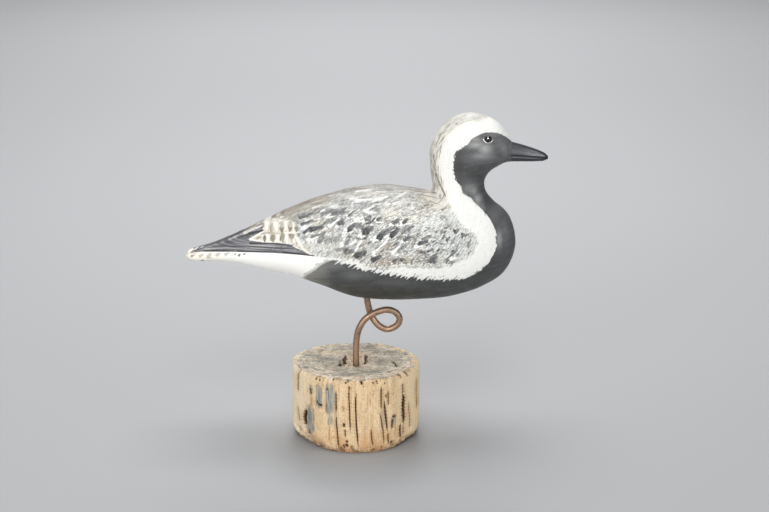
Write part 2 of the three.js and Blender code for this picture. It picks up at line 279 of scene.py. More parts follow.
# %% Edges of the large colours
# Places in the picture, in pixels. A name with BEYOND closes an area far outside the bird.
EYE_IN_PICTURE = (488.2, 138.6)
BLACK_EDGE = [
    (290, 292), (303, 279), (307.5, 275), (316, 269), (323, 264), (330, 260.8), (338, 260.6), (345, 262.4),
    (352, 265.2), (362, 268.4), (372, 269.2), (384, 272.2), (396, 274.4), (412, 276), (434, 278.3),
    (450, 278.6), (463, 278), (473, 273.9), (480, 269.4), (488, 262.4), (493.5, 253), (495.8, 245.9),
    (495.4, 232.5), (492.9, 226.3), (489.3, 219.1), (483, 211.1), (474.3, 203), (469.6, 196.8),
    (462.5, 191.5), (461.4, 186), (457.1, 181.6), (455, 175.4), (453.8, 170), (454, 162.7), (456, 153.5),
    (460.5, 149.5), (467, 145.5), (471.5, 139.5), (478, 135.8), (483, 133.6), (489.8, 132.6), (495, 132.9),
    (499, 133.8), (503.6, 135.4), (507.4, 137.8), (510.4, 140.4), (513.4, 142.6),
]
BLACK_BEYOND = [(560, 142), (580, 330), (280, 330)]
MANTLE_EDGE = [
    (258, 214), (262, 226), (275, 236), (285, 246), (300, 252.5), (312, 255.5), (326, 257.4), (340, 258.6),
    (350, 260.8), (362, 264), (372, 268.4), (384, 269.6), (396, 267), (406, 266.4), (414, 267),
    (428, 266.8), (440, 266.8), (452, 265), (464, 260), (473, 252.5), (477.5, 244), (476.5, 236),
    (468, 229), (460, 222.5), (455, 213), (449, 206), (444, 200),
]
MANTLE_BEYOND = [(437, 190), (432, 170), (250, 170), (240, 200)]
NAPE_EDGE = [
    (492, 108), (488, 117), (480, 120.5), (472, 121.5), (464, 124), (458, 127.5), (450, 132), (444, 140),
    (440, 151), (438, 164), (440, 176), (445, 190), (448, 202), (452, 209),
]
NAPE_BEYOND = [(436, 206), (420, 180), (420, 120), (450, 100)]
TERTIAL_EDGE = [
    (249.4, 239.2), (255, 235.4), (263, 231.8), (264, 222), (272, 218), (286, 219), (293, 222), (297, 227),
    (297, 233), (299, 240), (304, 247), (314, 256.2), (306, 253), (300, 249), (292, 244.6), (276, 242.6),
    (258, 241.4),
]
WING_TIP_EDGE = [
    (190, 252.6), (200, 243), (225, 231), (247, 220), (262, 212), (272, 214), (266, 222), (262, 231.4),
    (255, 235.4), (249.4, 239.2), (258, 241.4), (276, 242.6), (292, 244.6), (300, 249), (306, 253),
    (315, 256.4), (300, 254.6), (270, 252.9), (240, 251.9), (205, 251.6),
]

# %% Paint areas
PIXEL = 0.8 * MM
MIRROR = np.array([1, -1, 1])
right_points = np.where(bird_points[:, 1:2] > 0, bird_points * MIRROR, bird_points)
picture = seen(right_points)


def edge_line(points, count=200):
    return smooth(points, np.linspace(0, 1, count))


def inside(points, outline):
    """How far each picture point lies inside a closed outline, as a length: less than 0 outside."""
    nearest = np.full(len(points), np.inf)
    within = np.zeros(len(points), bool)
    for start, end in zip(outline, np.roll(outline, -1, axis=0)):
        side = end - start
        share = np.clip((points - start) @ side / max(side @ side, 1e-9), 0, 1)
        nearest = np.minimum(nearest, np.linalg.norm(points - start - share[:, None] * side, axis=1))
        crosses = (start[1] > points[:, 1]) != (end[1] > points[:, 1])
        if crosses.any():
            across = start[0] + (points[:, 1] - start[1]) * side[0] / side[1]
            within ^= crosses & (points[:, 0] < across)
    return np.where(within, nearest, -nearest) * PIXEL


areas = {
    "black": np.vstack([edge_line(BLACK_EDGE), BLACK_BEYOND]),
    "mantle": np.vstack([edge_line(MANTLE_EDGE), MANTLE_BEYOND]),
    "nape": np.vstack([edge_line(NAPE_EDGE), NAPE_BEYOND]),
    "tertial": np.array(TERTIAL_EDGE, float),
    "wing_tip": np.array(WING_TIP_EDGE, float),
}
for name, outline in areas.items():
    store(bird, name, inside(picture, outline))
store(bird, "from_back", np.append(from_back_line.ravel(), [0, 0]))
store(bird, "beside_eye", picture[:, 0] - EYE_IN_PICTURE[0])
store(bird, "below_eye", picture[:, 1] - EYE_IN_PICTURE[1])
print("paint areas:", list(areas))

# %% [markdown]
# Over the ground colours lie soft patches, where the painter wiped one colour into the next. The
# painted_sheen patches are painted sheen on the black, and some of the deep patches are painted shade low
# on the belly. Each is a few overlapping soft ovals. An oval fades out on its own, so no edge has to be
# drawn for it.

# %% Soft patches
# Middle, half width and half height in the picture, strength.
SOFT_PATCHES = {
    "cream": [
        (392, 213, 11, 5, 1), (412, 219, 9, 5, 1), (424, 213, 9, 3, 0.8), (398, 206, 12, 4, 0.6),
        (311, 246, 12, 9, 0.9), (330, 249, 12, 5, 0.7), (320, 221, 9, 2.4, 0.9), (372, 193, 14, 3, 0.5),
        (352, 257, 12, 3, 0.7), (408, 256, 8, 4, 0.6), (443, 261, 5, 4, 0.6), (400, 266, 14, 2, 0.6),
        (454, 219, 2, 6, 0.35), (317, 225, 5, 3, 0.5), (382, 227, 3, 4, 0.4),
    ],
    "tan": [
        (386, 263, 13, 5, 1), (372, 266, 10, 3, 0.9), (408, 260, 10, 4, 0.7), (352, 256, 14, 3, 0.5),
        (428, 265, 14, 3, 0.5), (314, 201, 16, 5, 0.8), (300, 207, 14, 6, 0.9), (286, 214, 14, 5, 0.8),
        (426, 198, 9, 8, 0.9), (430, 206, 10, 5, 0.8), (412, 193, 8, 4, 0.6), (437, 206, 5, 5, 0.5),
        (335, 198, 22, 3, 0.4), (272, 234, 8, 2, 1), (388, 246, 5, 6, 0.8), (381, 252, 6, 6, 0.5),
        (363, 246, 5, 6, 0.5), (421, 251, 5, 3, 0.6), (325, 231, 9, 3, 0.5), (413, 242, 4, 2.6, 0.5),
        (436, 196, 6, 14, 0.8), (384, 221, 5, 3, 0.4), (400, 236, 5, 2.5, 0.4), (346, 211, 4, 3, 0.3),
    ],
    "grey": [
        (318, 221, 11, 6, 0.55), (337, 225, 11, 8, 0.5), (348, 214, 6, 4, 0.6), (362, 230, 6, 7, 0.4),
        (375, 192, 9, 2.6, 0.6), (438, 193, 8, 5, 0.6), (306, 213, 8, 4, 0.5), (318, 216, 8, 4, 0.6),
        (337, 212, 11, 5, 1), (326, 213, 9, 4, 0.9), (331, 221, 8, 3.5, 0.8), (352, 206, 12, 4, 0.6),
        (366, 206, 12, 4.5, 0.8), (377, 211, 7, 5, 0.8), (356, 203, 26, 1.6, 0.6), (332, 239, 8, 3, 0.6),
        (337, 230, 6, 4, 0.4), (356, 226, 10, 3, 0.5), (388, 231, 9, 3, 0.8), (404, 230, 7, 5, 0.8),
        (374, 219, 5, 5, 0.5), (359, 212, 8, 3, 0.5), (408, 246, 9, 5, 0.4), (412, 237, 8, 3, 0.45),
        (425, 256, 9, 5, 0.5), (346, 217, 7, 4, 0.6), (332, 246, 6, 3, 0.4), (310, 226, 9, 5, 0.4),
        (375, 236, 10, 5, 0.5), (437, 246, 6, 5, 0.5), (386, 250, 6, 4, 0.4), (352, 234, 8, 4, 0.4),
        (396, 188.6, 14, 1.6, 0.9), (424, 190.4, 10, 1.6, 0.8), (445, 217, 5, 3, 0.4),
        (399, 208.6, 5, 2, 0.5),
    ],
    "pale": [
        (434, 221, 15, 8, 1), (450, 218, 12, 9, 1), (466, 228, 10, 10, 0.9), (462, 252, 9, 9, 0.9),
        (450, 240, 12, 8, 0.9), (432, 249, 7, 4, 0.6), (328, 253, 10, 4, 0.8), (476, 240, 8, 12, 1),
        (447, 246, 12, 12, 0.7), (378, 198.6, 9, 3, 0.9), (353, 198, 5, 3, 0.8), (362, 200.4, 8, 1.6, 0.8),
        (400, 203, 12, 2.4, 0.7), (388, 203, 8, 2, 0.7), (334, 206.4, 7, 2.4, 0.8), (352, 206, 6, 1.6, 0.6),
        (322, 235, 8, 3, 0.6), (305, 227, 4, 2.6, 0.9), (420, 226, 10, 5, 0.7), (313, 243, 9, 5, 0.8),
        (321, 250, 10, 4, 1), (315, 252, 8, 3, 1), (366, 212, 6, 2, 0.6), (440, 204, 3, 4, 0.6),
        (398, 254, 5, 2.6, 0.7),
    ],
    # Painted sheen: lighter patches on the black where its satin paint catches the light.
    "painted_sheen": [
        (476, 145, 9, 4, 1), (485, 149, 7, 6, 1), (482, 156, 11, 4, 0.6), (476, 140, 6, 3, 0.7),
        (502, 142, 9, 10, 0.25), (495, 135, 10, 3, 0.3), (474, 191, 4, 5, 0.7), (478, 199, 4, 6, 0.9),
        (482, 206, 3.5, 5, 0.4), (499.4, 239, 3, 9, 0.8), (470, 188, 7, 4, 0.4), (332, 266, 14, 5, 0.3),
        (480, 158, 20, 5, 0.2), (497, 210, 8, 10, 0.25), (505, 228, 5, 16, 0.25), (340, 263, 6, 2, 0.4),
        (504.4, 149, 4.4, 7, 0.4), (511, 147.5, 3, 6.5, 0.4), (318, 268, 12, 8, 0.35),
        (356, 275, 16, 4, 0.2), (395, 283, 20, 3, 0.12),
    ],
    # Darker black at the rear of the face, and painted shade along the lowest part of breast and belly.
    "deep": [
        (459, 166, 7, 18, 1), (470, 173, 12, 7, 0.7), (458, 182, 6, 6, 0.7), (400, 294, 70, 6, 0.8),
        (478, 272, 14, 8, 0.7), (462, 285, 20, 6, 0.5), (486, 213, 6, 10, 0.4), (370, 290, 30, 8, 0.5),
        (482, 170, 12, 5, 0.4), (430, 283, 30, 3, 0.4),
    ],
}


def ovals(u, v, patches, falloff=lambda away: np.exp(-away)):
    """Soft ovals, one over another, at the places u, v. falloff takes the square of the distance."""
    values = np.zeros(u.shape)
    for middle_u, middle_v, wide, tall, strength in patches:
        away = ((u - middle_u) / wide) ** 2 + ((v - middle_v) / tall) ** 2
        values = np.maximum(values, strength * falloff(away))
    return values


for name, patches in SOFT_PATCHES.items():
    store(bird, name, ovals(picture[:, 0], picture[:, 1], patches))
    print(name, "patches:", len(patches))

# %% [markdown]
# The dark dabs of the back, their white tips and the bars of wing and tail are single brush marks, placed
# one by one as the photo shows them. A mark runs from where the brush is set down, blunt, to where it is
# lifted off, thin. It is laid on the carved surface where the line of sight meets it, and repeated on the
# other side with a little wandering of the hand.

# %% Dark dabs of the back
# Here and below: start and end in the picture, width in pixels, strength.
DARK_DABS = [
    # behind the wing feathers
    (300.5, 217, 313, 212.6, 4.4, 0.8), (301.6, 224.2, 312.4, 220.8, 3, 0.85),
    (312, 221.8, 317, 220.8, 2.2, 0.5), (304, 232.4, 309.5, 229.4, 3.2, 0.9),
    (310.4, 229.8, 322, 226.8, 4.8, 1), (312, 236.6, 324, 233.6, 3.4, 0.72),
    (326, 242, 338, 238, 4.4, 0.38), (325, 223.2, 335, 220, 3.4, 0.55), (322, 214.4, 333, 209.8, 3.6, 0.5),
    (333, 213.8, 345, 209, 4.4, 0.68), (310, 212.4, 322, 209, 2.6, 0.4),
    (319.8, 241.6, 323.5, 234, 5, 0.74), (337, 249.8, 345, 247.8, 3, 0.55),
    (328, 253.4, 332, 252.2, 3, 0.35), (318.5, 252.4, 321, 251, 2, 0.4),
    (298.4, 233.6, 301.4, 239, 2.6, 0.42), (302.6, 236, 304.4, 240.4, 1.8, 0.42),
    # the largest, in two rows
    (339, 223.4, 342, 219.8, 4.4, 0.85), (342.4, 225, 344, 222.2, 2, 0.75),
    (348.8, 215.2, 354.2, 211.4, 2.4, 0.7), (349.6, 229.4, 353.4, 225, 4.8, 0.95),
    (353, 225.4, 361, 223.4, 3.4, 0.75), (357, 226.4, 363.5, 227.4, 4, 0.6),
    (366.4, 231, 371.4, 227.8, 7.2, 1), (364.6, 232.6, 367, 231, 4.6, 1),
    (366.6, 219.2, 369.4, 217, 4.8, 0.75), (366.4, 223.8, 373, 221.6, 1.8, 0.9),
    (372.4, 221.6, 375, 217.8, 2, 0.85), (378.4, 219.4, 379.8, 218.4, 4.2, 0.85),
    (377.6, 223.8, 380, 223.6, 1.4, 0.6), (379.4, 236.8, 383.6, 231.6, 6.4, 1),
    (384.6, 234.4, 388.4, 231.6, 4, 0.7), (384, 230, 396, 227.8, 2.6, 0.65), (392, 235, 397, 230, 6, 1),
    (394, 222.6, 397.4, 219.8, 4.8, 0.85), (404, 222.4, 407, 219, 4, 0.9), (405.6, 230, 409, 227, 3, 0.5),
    (408.4, 229, 412, 226.8, 3.4, 0.75), (411.2, 227.2, 413.4, 226.6, 2.4, 1),
    (402.6, 233.6, 405.6, 230.8, 1.8, 0.65), (398, 238.4, 402.4, 236, 2, 0.6),
    (396, 237.6, 401, 238.6, 1.6, 0.35), (405.2, 239.8, 409.6, 236.4, 4.2, 0.9),
    (409, 238.4, 411, 237.4, 1.8, 0.7), (419.6, 243.6, 426.8, 240.4, 4.4, 0.95),
    (423, 239.6, 430.4, 235.8, 3.2, 0.62),
    # the lower row
    (346.2, 243, 349, 237, 5, 0.62), (346, 251.8, 352, 251.4, 6, 0.75),
    (357.6, 256.2, 364.6, 252.4, 7, 0.95), (373, 259.8, 380, 256.8, 5.2, 0.95),
    (354, 249, 356.4, 244, 2.6, 0.55), (363, 239, 367.4, 236.6, 2.2, 0.85),
    (357, 238.2, 360, 238.6, 2.4, 0.65), (369, 243, 372, 241, 2, 0.65), (375.4, 242.6, 377.6, 242, 2, 0.8),
    (395, 245, 397.6, 243.6, 3.4, 0.5), (402, 245.2, 404.2, 246, 1.6, 0.5),
    (405.2, 244.6, 406.8, 244.4, 1.4, 0.5), (398, 250.8, 401.8, 248.4, 2.2, 0.72),
    (398.4, 253.8, 399.8, 253.2, 1.6, 0.45), (416, 249.8, 416.8, 249.4, 1.6, 0.75),
    (395.4, 260.2, 399, 258.4, 3, 0.75), (393, 261.8, 395.6, 260.8, 1.6, 0.6),
    (401, 260.4, 404.6, 258.4, 2.6, 0.85), (398.8, 261.6, 401, 260.6, 1.4, 0.5),
    (411, 263.6, 412.4, 262.8, 2, 0.8), (412, 260, 413.8, 258.4, 2, 0.45),
    (405.4, 263.8, 407.8, 262, 1.5, 0.5), (420.4, 252.6, 425, 251, 2.4, 0.85),
    (384.4, 267.8, 391, 263.6, 1.4, 0.5), (417, 259.6, 418.4, 259.2, 1.4, 0.6),
    (420.6, 257.8, 423, 257.2, 1.4, 0.5), (423.4, 259.8, 424.4, 259.2, 1.5, 0.7),
    (424.6, 253.6, 425.2, 256.4, 1.2, 0.4), (431, 260.2, 435.4, 256.8, 6, 0.88),
    (434, 262.4, 434.8, 261.2, 2.4, 0.8), (428, 260.6, 430, 259.8, 3, 0.5),
    (427.6, 251.6, 432.6, 249, 2.2, 0.9), (433.2, 252.4, 434, 250.8, 1.6, 0.5),
    (432.6, 242, 435.2, 240.6, 2, 0.85), (426.2, 245.8, 429, 244.2, 1.6, 0.75),
    (429.6, 243.6, 430.6, 243.2, 1.4, 0.4),
    # small marks nearer the breast
    (411, 237, 416, 237.6, 1.8, 0.35), (417.4, 233.6, 417.6, 236.6, 1.4, 0.5),
    (420.2, 235.4, 422.6, 234.2, 1.3, 0.45), (424.4, 230.8, 426.6, 230.2, 1.7, 0.6),
    (428.2, 231.8, 429, 231.2, 1.4, 0.3), (436.2, 232.2, 437, 230.2, 1.5, 0.7),
    (436.4, 243, 438.4, 242.6, 2, 0.6), (437.4, 251.2, 440, 248.6, 2.2, 0.9),
    (440.4, 252.6, 443, 251.4, 1.6, 0.5), (444.4, 250.6, 448, 249.6, 1.9, 0.65),
    (441, 244, 444.8, 244.4, 2.4, 0.6), (446, 246.6, 446.4, 244.8, 1.4, 0.5),
    (440, 240.6, 442.4, 240, 1.2, 0.4), (440.6, 233.4, 442.4, 230, 1.9, 0.6),
    (443.8, 232.6, 445.4, 231, 2, 0.85), (442.6, 238.6, 444.8, 235, 2, 0.82),
    (447, 240.6, 449.6, 237, 2.8, 0.85), (445.4, 237.6, 448, 237.4, 1.5, 0.5),
    (449.4, 240.2, 453, 240.8, 1.6, 0.5), (452, 242.6, 454.2, 239.4, 2, 0.6),
    (454.4, 238.6, 455.8, 235.8, 1.6, 0.5), (445.2, 228.6, 448.2, 227, 2.5, 0.85),
    (448.4, 225.8, 451.6, 226.2, 3, 0.45), (450, 229, 451, 226.4, 2, 0.4),
    (454.4, 230.6, 455.2, 233.6, 2.6, 1), (456.4, 232, 458.8, 229, 2.3, 0.8),
    (462, 233.8, 464.4, 234.2, 2.6, 1), (462.2, 237.6, 463.4, 234.8, 2.1, 0.92),
    (464.4, 236.2, 468.6, 233.8, 2, 0.8), (467.8, 246, 468.4, 241.4, 2, 0.75),
    (468.8, 243, 470.8, 240.6, 1.8, 0.6), (470.4, 244.8, 473.8, 242.4, 1.9, 0.5),
    (469, 247.8, 470, 245.4, 1.6, 0.4), (469.6, 237.2, 472.4, 236.6, 2.4, 0.28),
    (474.4, 236, 474.8, 239.8, 1.7, 0.3), (476.4, 243.6, 479.6, 243, 1.9, 0.28),
    (466, 229, 469.4, 228.6, 2, 0.2), (456.4, 248.2, 458.8, 243.4, 1.9, 0.62),
    (459.4, 248, 462.8, 247.2, 1.7, 0.5), (450, 246.6, 450.8, 243.4, 1.8, 0.4),
    (452.6, 251, 457.2, 251.4, 2.6, 0.82), (454.2, 253.2, 455.6, 251, 2.4, 0.8),
    (451.6, 255.2, 453.8, 253.2, 2, 0.92), (457, 255.2, 459.8, 253.6, 1.8, 0.6),
    (458, 258.2, 461, 256.2, 1.6, 0.5), (461, 259.8, 462.4, 259, 1.8, 0.55),
    (446.2, 260.2, 449.8, 256.2, 2.2, 0.7), (446.4, 263.8, 448.4, 260.4, 1.6, 0.65),
    (444.2, 261.8, 445.2, 260.2, 1.4, 0.45), (449.8, 261, 452, 262.6, 1.5, 0.55),
    (451.4, 264, 454.2, 261.4, 1.5, 0.62), (449, 266.2, 455, 264.4, 1.4, 0.4),
    (455, 264.6, 460, 261, 1.6, 0.6), (461, 225, 461.8, 224.2, 1.4, 0.35),
    (441.6, 217.6, 445.4, 216.2, 3.6, 0.36), (446, 218, 446.2, 221.8, 1.2, 0.35),
    (446, 217, 450.8, 216.6, 2.4, 0.2), (448.4, 268, 450, 267.6, 1.4, 0.25),
    (437.4, 264.2, 438.6, 263.4, 1.4, 0.5), (438, 267.8, 439.6, 267.4, 1.5, 0.35),
    # soft shadows between the feathers of the upper back
    (304, 203, 311, 200.2, 1.3, 0.45), (310, 205, 323, 202.4, 1.8, 0.4), (341, 205, 356, 202.6, 1.6, 0.45),
    (339, 204.4, 344, 203.4, 1.6, 0.5), (354, 203.6, 368, 202.6, 1.6, 0.4),
    (367, 202.4, 373, 200.4, 1.5, 0.55), (371, 203.2, 385, 201, 1.5, 0.5),
    (384.6, 200.4, 391, 196.8, 2.4, 0.42), (391, 203.2, 394.6, 201.2, 1.6, 0.5),
    (393, 201.2, 400, 200, 1.3, 0.4), (407.6, 204.8, 410.6, 204, 2.2, 0.5),
    (394.6, 209.8, 401.4, 207.4, 1.8, 0.42), (403.4, 216.2, 409, 212.2, 1.3, 0.5),
    (417.6, 209.8, 424, 207.6, 2, 0.45), (424.2, 205.4, 428.4, 204.8, 1.8, 0.62),
    (432, 205.2, 433.4, 204.6, 2.2, 0.7), (428.6, 202.4, 430.2, 200.4, 1.8, 0.4),
    (417.6, 223.8, 424.4, 218.6, 1.3, 0.4), (427, 217, 431.4, 215.6, 1.6, 0.42),
    (409, 195.8, 416, 199.2, 1.5, 0.42), (410, 192.4, 414.4, 193, 2, 0.35),
    (422, 194, 423, 192.8, 1.8, 0.45), (416, 196.4, 421, 197.6, 1.4, 0.3),
    (372, 195.6, 384, 193.6, 1.6, 0.25), (352, 194.8, 366, 193.4, 1.6, 0.25),
    (343, 200.6, 352, 199, 1.6, 0.25), (326, 212, 331, 209.6, 1.5, 0.4), (334, 211.4, 341, 209.6, 2, 0.45),
    (313, 214, 318, 212.6, 1.8, 0.4), (339.6, 214, 345, 212, 1.8, 0.35), (327, 219.6, 336, 218.4, 2.2, 0.4),
    (356, 209, 361, 206.8, 1.6, 0.3), (372, 209, 377, 206.4, 2.4, 0.4),
]
print("dark dabs:", len(DARK_DABS))

# %% Brown bars and thin lines
BROWN_BARS = [
    # lower row of the inner wing feathers
    (264.6, 236.6, 264.6, 241.2, 3, 0.95), (272.8, 236.6, 273, 241, 4.8, 0.85),
    (270.6, 237.4, 270.9, 240.8, 1.2, 0.9), (282.6, 235.4, 282.8, 241.4, 4.6, 0.72),
    (280.2, 236.5, 280.4, 241, 1.3, 0.9), (291.8, 235.8, 291.6, 238.4, 5.4, 0.7),
    (291.8, 238.8, 291.6, 242, 2.6, 0.4), (289, 235, 295, 235, 1.5, 0.9),
    (296.4, 242.6, 297, 245.4, 1.8, 0.6), (297.8, 234.4, 298.2, 237.4, 3.2, 0.4),
    (257.4, 238.2, 261.4, 237, 2, 0.7), (262, 233.6, 268, 232.8, 2, 0.55),
    (268, 232.8, 276, 233.2, 2.2, 0.5),
    # upper row
    (271.6, 224.4, 271.8, 231, 3.2, 0.5), (270.2, 226, 270.4, 231.6, 1.2, 0.75),
    (281.6, 228.6, 281.8, 231.4, 4.6, 0.95), (281.6, 223.6, 281.8, 228, 4, 0.35),
    (290, 222.6, 290.2, 228, 4.2, 0.4), (290, 227.8, 290.2, 230.8, 4.6, 0.95),
    (296.4, 228.4, 296.6, 231.2, 3.8, 0.85), (271.6, 218.6, 271.4, 221.6, 2.4, 0.3),
    (283, 215.4, 283.4, 217.6, 3.4, 0.3), (282, 213.2, 284.4, 212, 2.4, 0.8),
    (272, 217.6, 277, 215.2, 1.8, 0.75), (277, 222, 278.6, 219, 1.2, 0.3),
    # tail
    (190.4, 252.8, 196, 253.2, 1.4, 0.6), (192, 256, 194.4, 255, 3, 0.7),
    (200.4, 256, 202.6, 254.4, 3.4, 0.5), (208.6, 256.4, 210.6, 253.6, 4, 0.5),
    (217, 255, 219.6, 253.4, 3, 0.5), (225.6, 254.4, 229, 253, 2.8, 0.5),
    (235, 254.4, 236.2, 253.8, 1.8, 0.75), (239, 255.4, 240, 254, 2.2, 0.9),
    (243.6, 254.2, 245.6, 253.6, 1.6, 0.8), (202, 261, 203.4, 260, 2.2, 0.7),
    (208.6, 258, 212.4, 257.8, 1.2, 0.5), (187.4, 254, 189, 251, 1.2, 0.5),
    # nape and crown
    (433.6, 155, 434, 160, 1.8, 0.65), (434.8, 160.6, 435.2, 166, 1.6, 0.75),
    (434, 166, 435.8, 171.6, 1.8, 0.6), (436, 173.6, 437.6, 178.6, 1.8, 0.8),
    (437.6, 179, 439.4, 183.4, 1.6, 0.7), (439.6, 183.6, 441.8, 188.4, 1.8, 0.9),
    (441.8, 188.2, 443.6, 192.4, 2.2, 0.9), (443.8, 192.6, 445.6, 196.4, 1.8, 0.8),
    (436.4, 184, 438, 190, 1.4, 0.4), (432.4, 170, 433.8, 176, 1.4, 0.5), (438, 166, 438.6, 171, 1.2, 0.35),
    (440.4, 176, 441.6, 181, 1.2, 0.35), (441.4, 133.4, 438, 140.6, 1.8, 0.6),
    (449.6, 124.6, 444.6, 128.8, 1.8, 0.45), (437.4, 142, 435.6, 148, 1.6, 0.5),
    (466, 114.6, 460, 118.6, 1.4, 0.4), (470, 112.6, 463, 114.6, 1.2, 0.35),
    (480.6, 117, 473, 119.6, 1.4, 0.45), (478, 121.4, 472, 122.4, 1.2, 0.3),
    (458, 118, 452.6, 121.6, 1.4, 0.4), (452, 128, 447, 132, 1.4, 0.4),
    (456.8, 123.6, 455.4, 124.8, 2.2, 0.85), (439.8, 197.6, 441, 198.6, 1.8, 0.7),
    (446, 190, 447.4, 195, 1, 0.3), (438.6, 146, 437.4, 153, 1.2, 0.35), (444.6, 136, 441.8, 142, 1.2, 0.3),
    (431.6, 160, 432, 166, 1.2, 0.4),
]
# The dark edges and lines of the wing tips, and those along the back.
THIN_LINES = [
    (238, 237.4, 250, 234, 3, 0.85), (249, 233.8, 263, 230.4, 3.4, 0.95),
    (250, 243.2, 276, 243.8, 2.2, 0.9), (276, 243.8, 293, 245.4, 2.2, 0.9),
    (214, 246.2, 250, 246.2, 1.8, 0.75), (249, 246.4, 276, 248, 1.8, 0.75), (276, 248, 296, 249, 2, 0.75),
    (204, 250.8, 240, 251.1, 2, 0.9), (238, 251.2, 285, 252.2, 1.8, 0.95),
    (284, 252.4, 314.6, 255.8, 2.2, 1), (226, 242, 234, 242.2, 2, 0.7), (238, 238.4, 250, 238, 2, 0.45),
    (222, 249.6, 245, 249.2, 1.2, 0.4), (296, 249, 308, 254, 1.8, 0.6), (243, 236, 249, 237.6, 1.4, 0.45),
    (196, 251, 216, 242.6, 2.6, 0.6), (216, 242.6, 240, 232.4, 2.6, 0.7),
    (240, 232.4, 262, 222.6, 1.7, 0.55), (238, 236.8, 246, 235, 1.2, 0.4),
    (222, 244.4, 246, 243.4, 1, 0.45), (208, 247.4, 232, 246.6, 1, 0.4), (327, 195, 337, 193.6, 2, 0.6),
    (343, 192.2, 348.6, 191.4, 2, 0.75), (350, 190, 366, 189.4, 2, 0.7), (357, 188.8, 372, 188.2, 1.6, 0.5),
    (374, 188.4, 392, 188.6, 1.6, 0.45), (392, 189.2, 408, 189.4, 2.4, 0.5),
    (408, 189.2, 416, 191, 1.8, 0.7), (416, 191.4, 432, 191.6, 2.6, 0.5), (300, 206, 310, 202.6, 1.6, 0.4),
    (441.6, 209.8, 446.8, 208, 1.8, 0.75), (440, 195.6, 441, 194.8, 2, 0.7),
    (372, 190.6, 392, 189.8, 2.2, 0.6), (423, 191.6, 436, 193, 2.4, 0.7), (428, 196, 438, 198.6, 1.6, 0.6),
    (418, 194.6, 430, 196, 1.6, 0.5), (430, 201, 440, 204.6, 1.4, 0.5),
]
print("bars:", len(BROWN_BARS), "thin lines:", len(THIN_LINES))
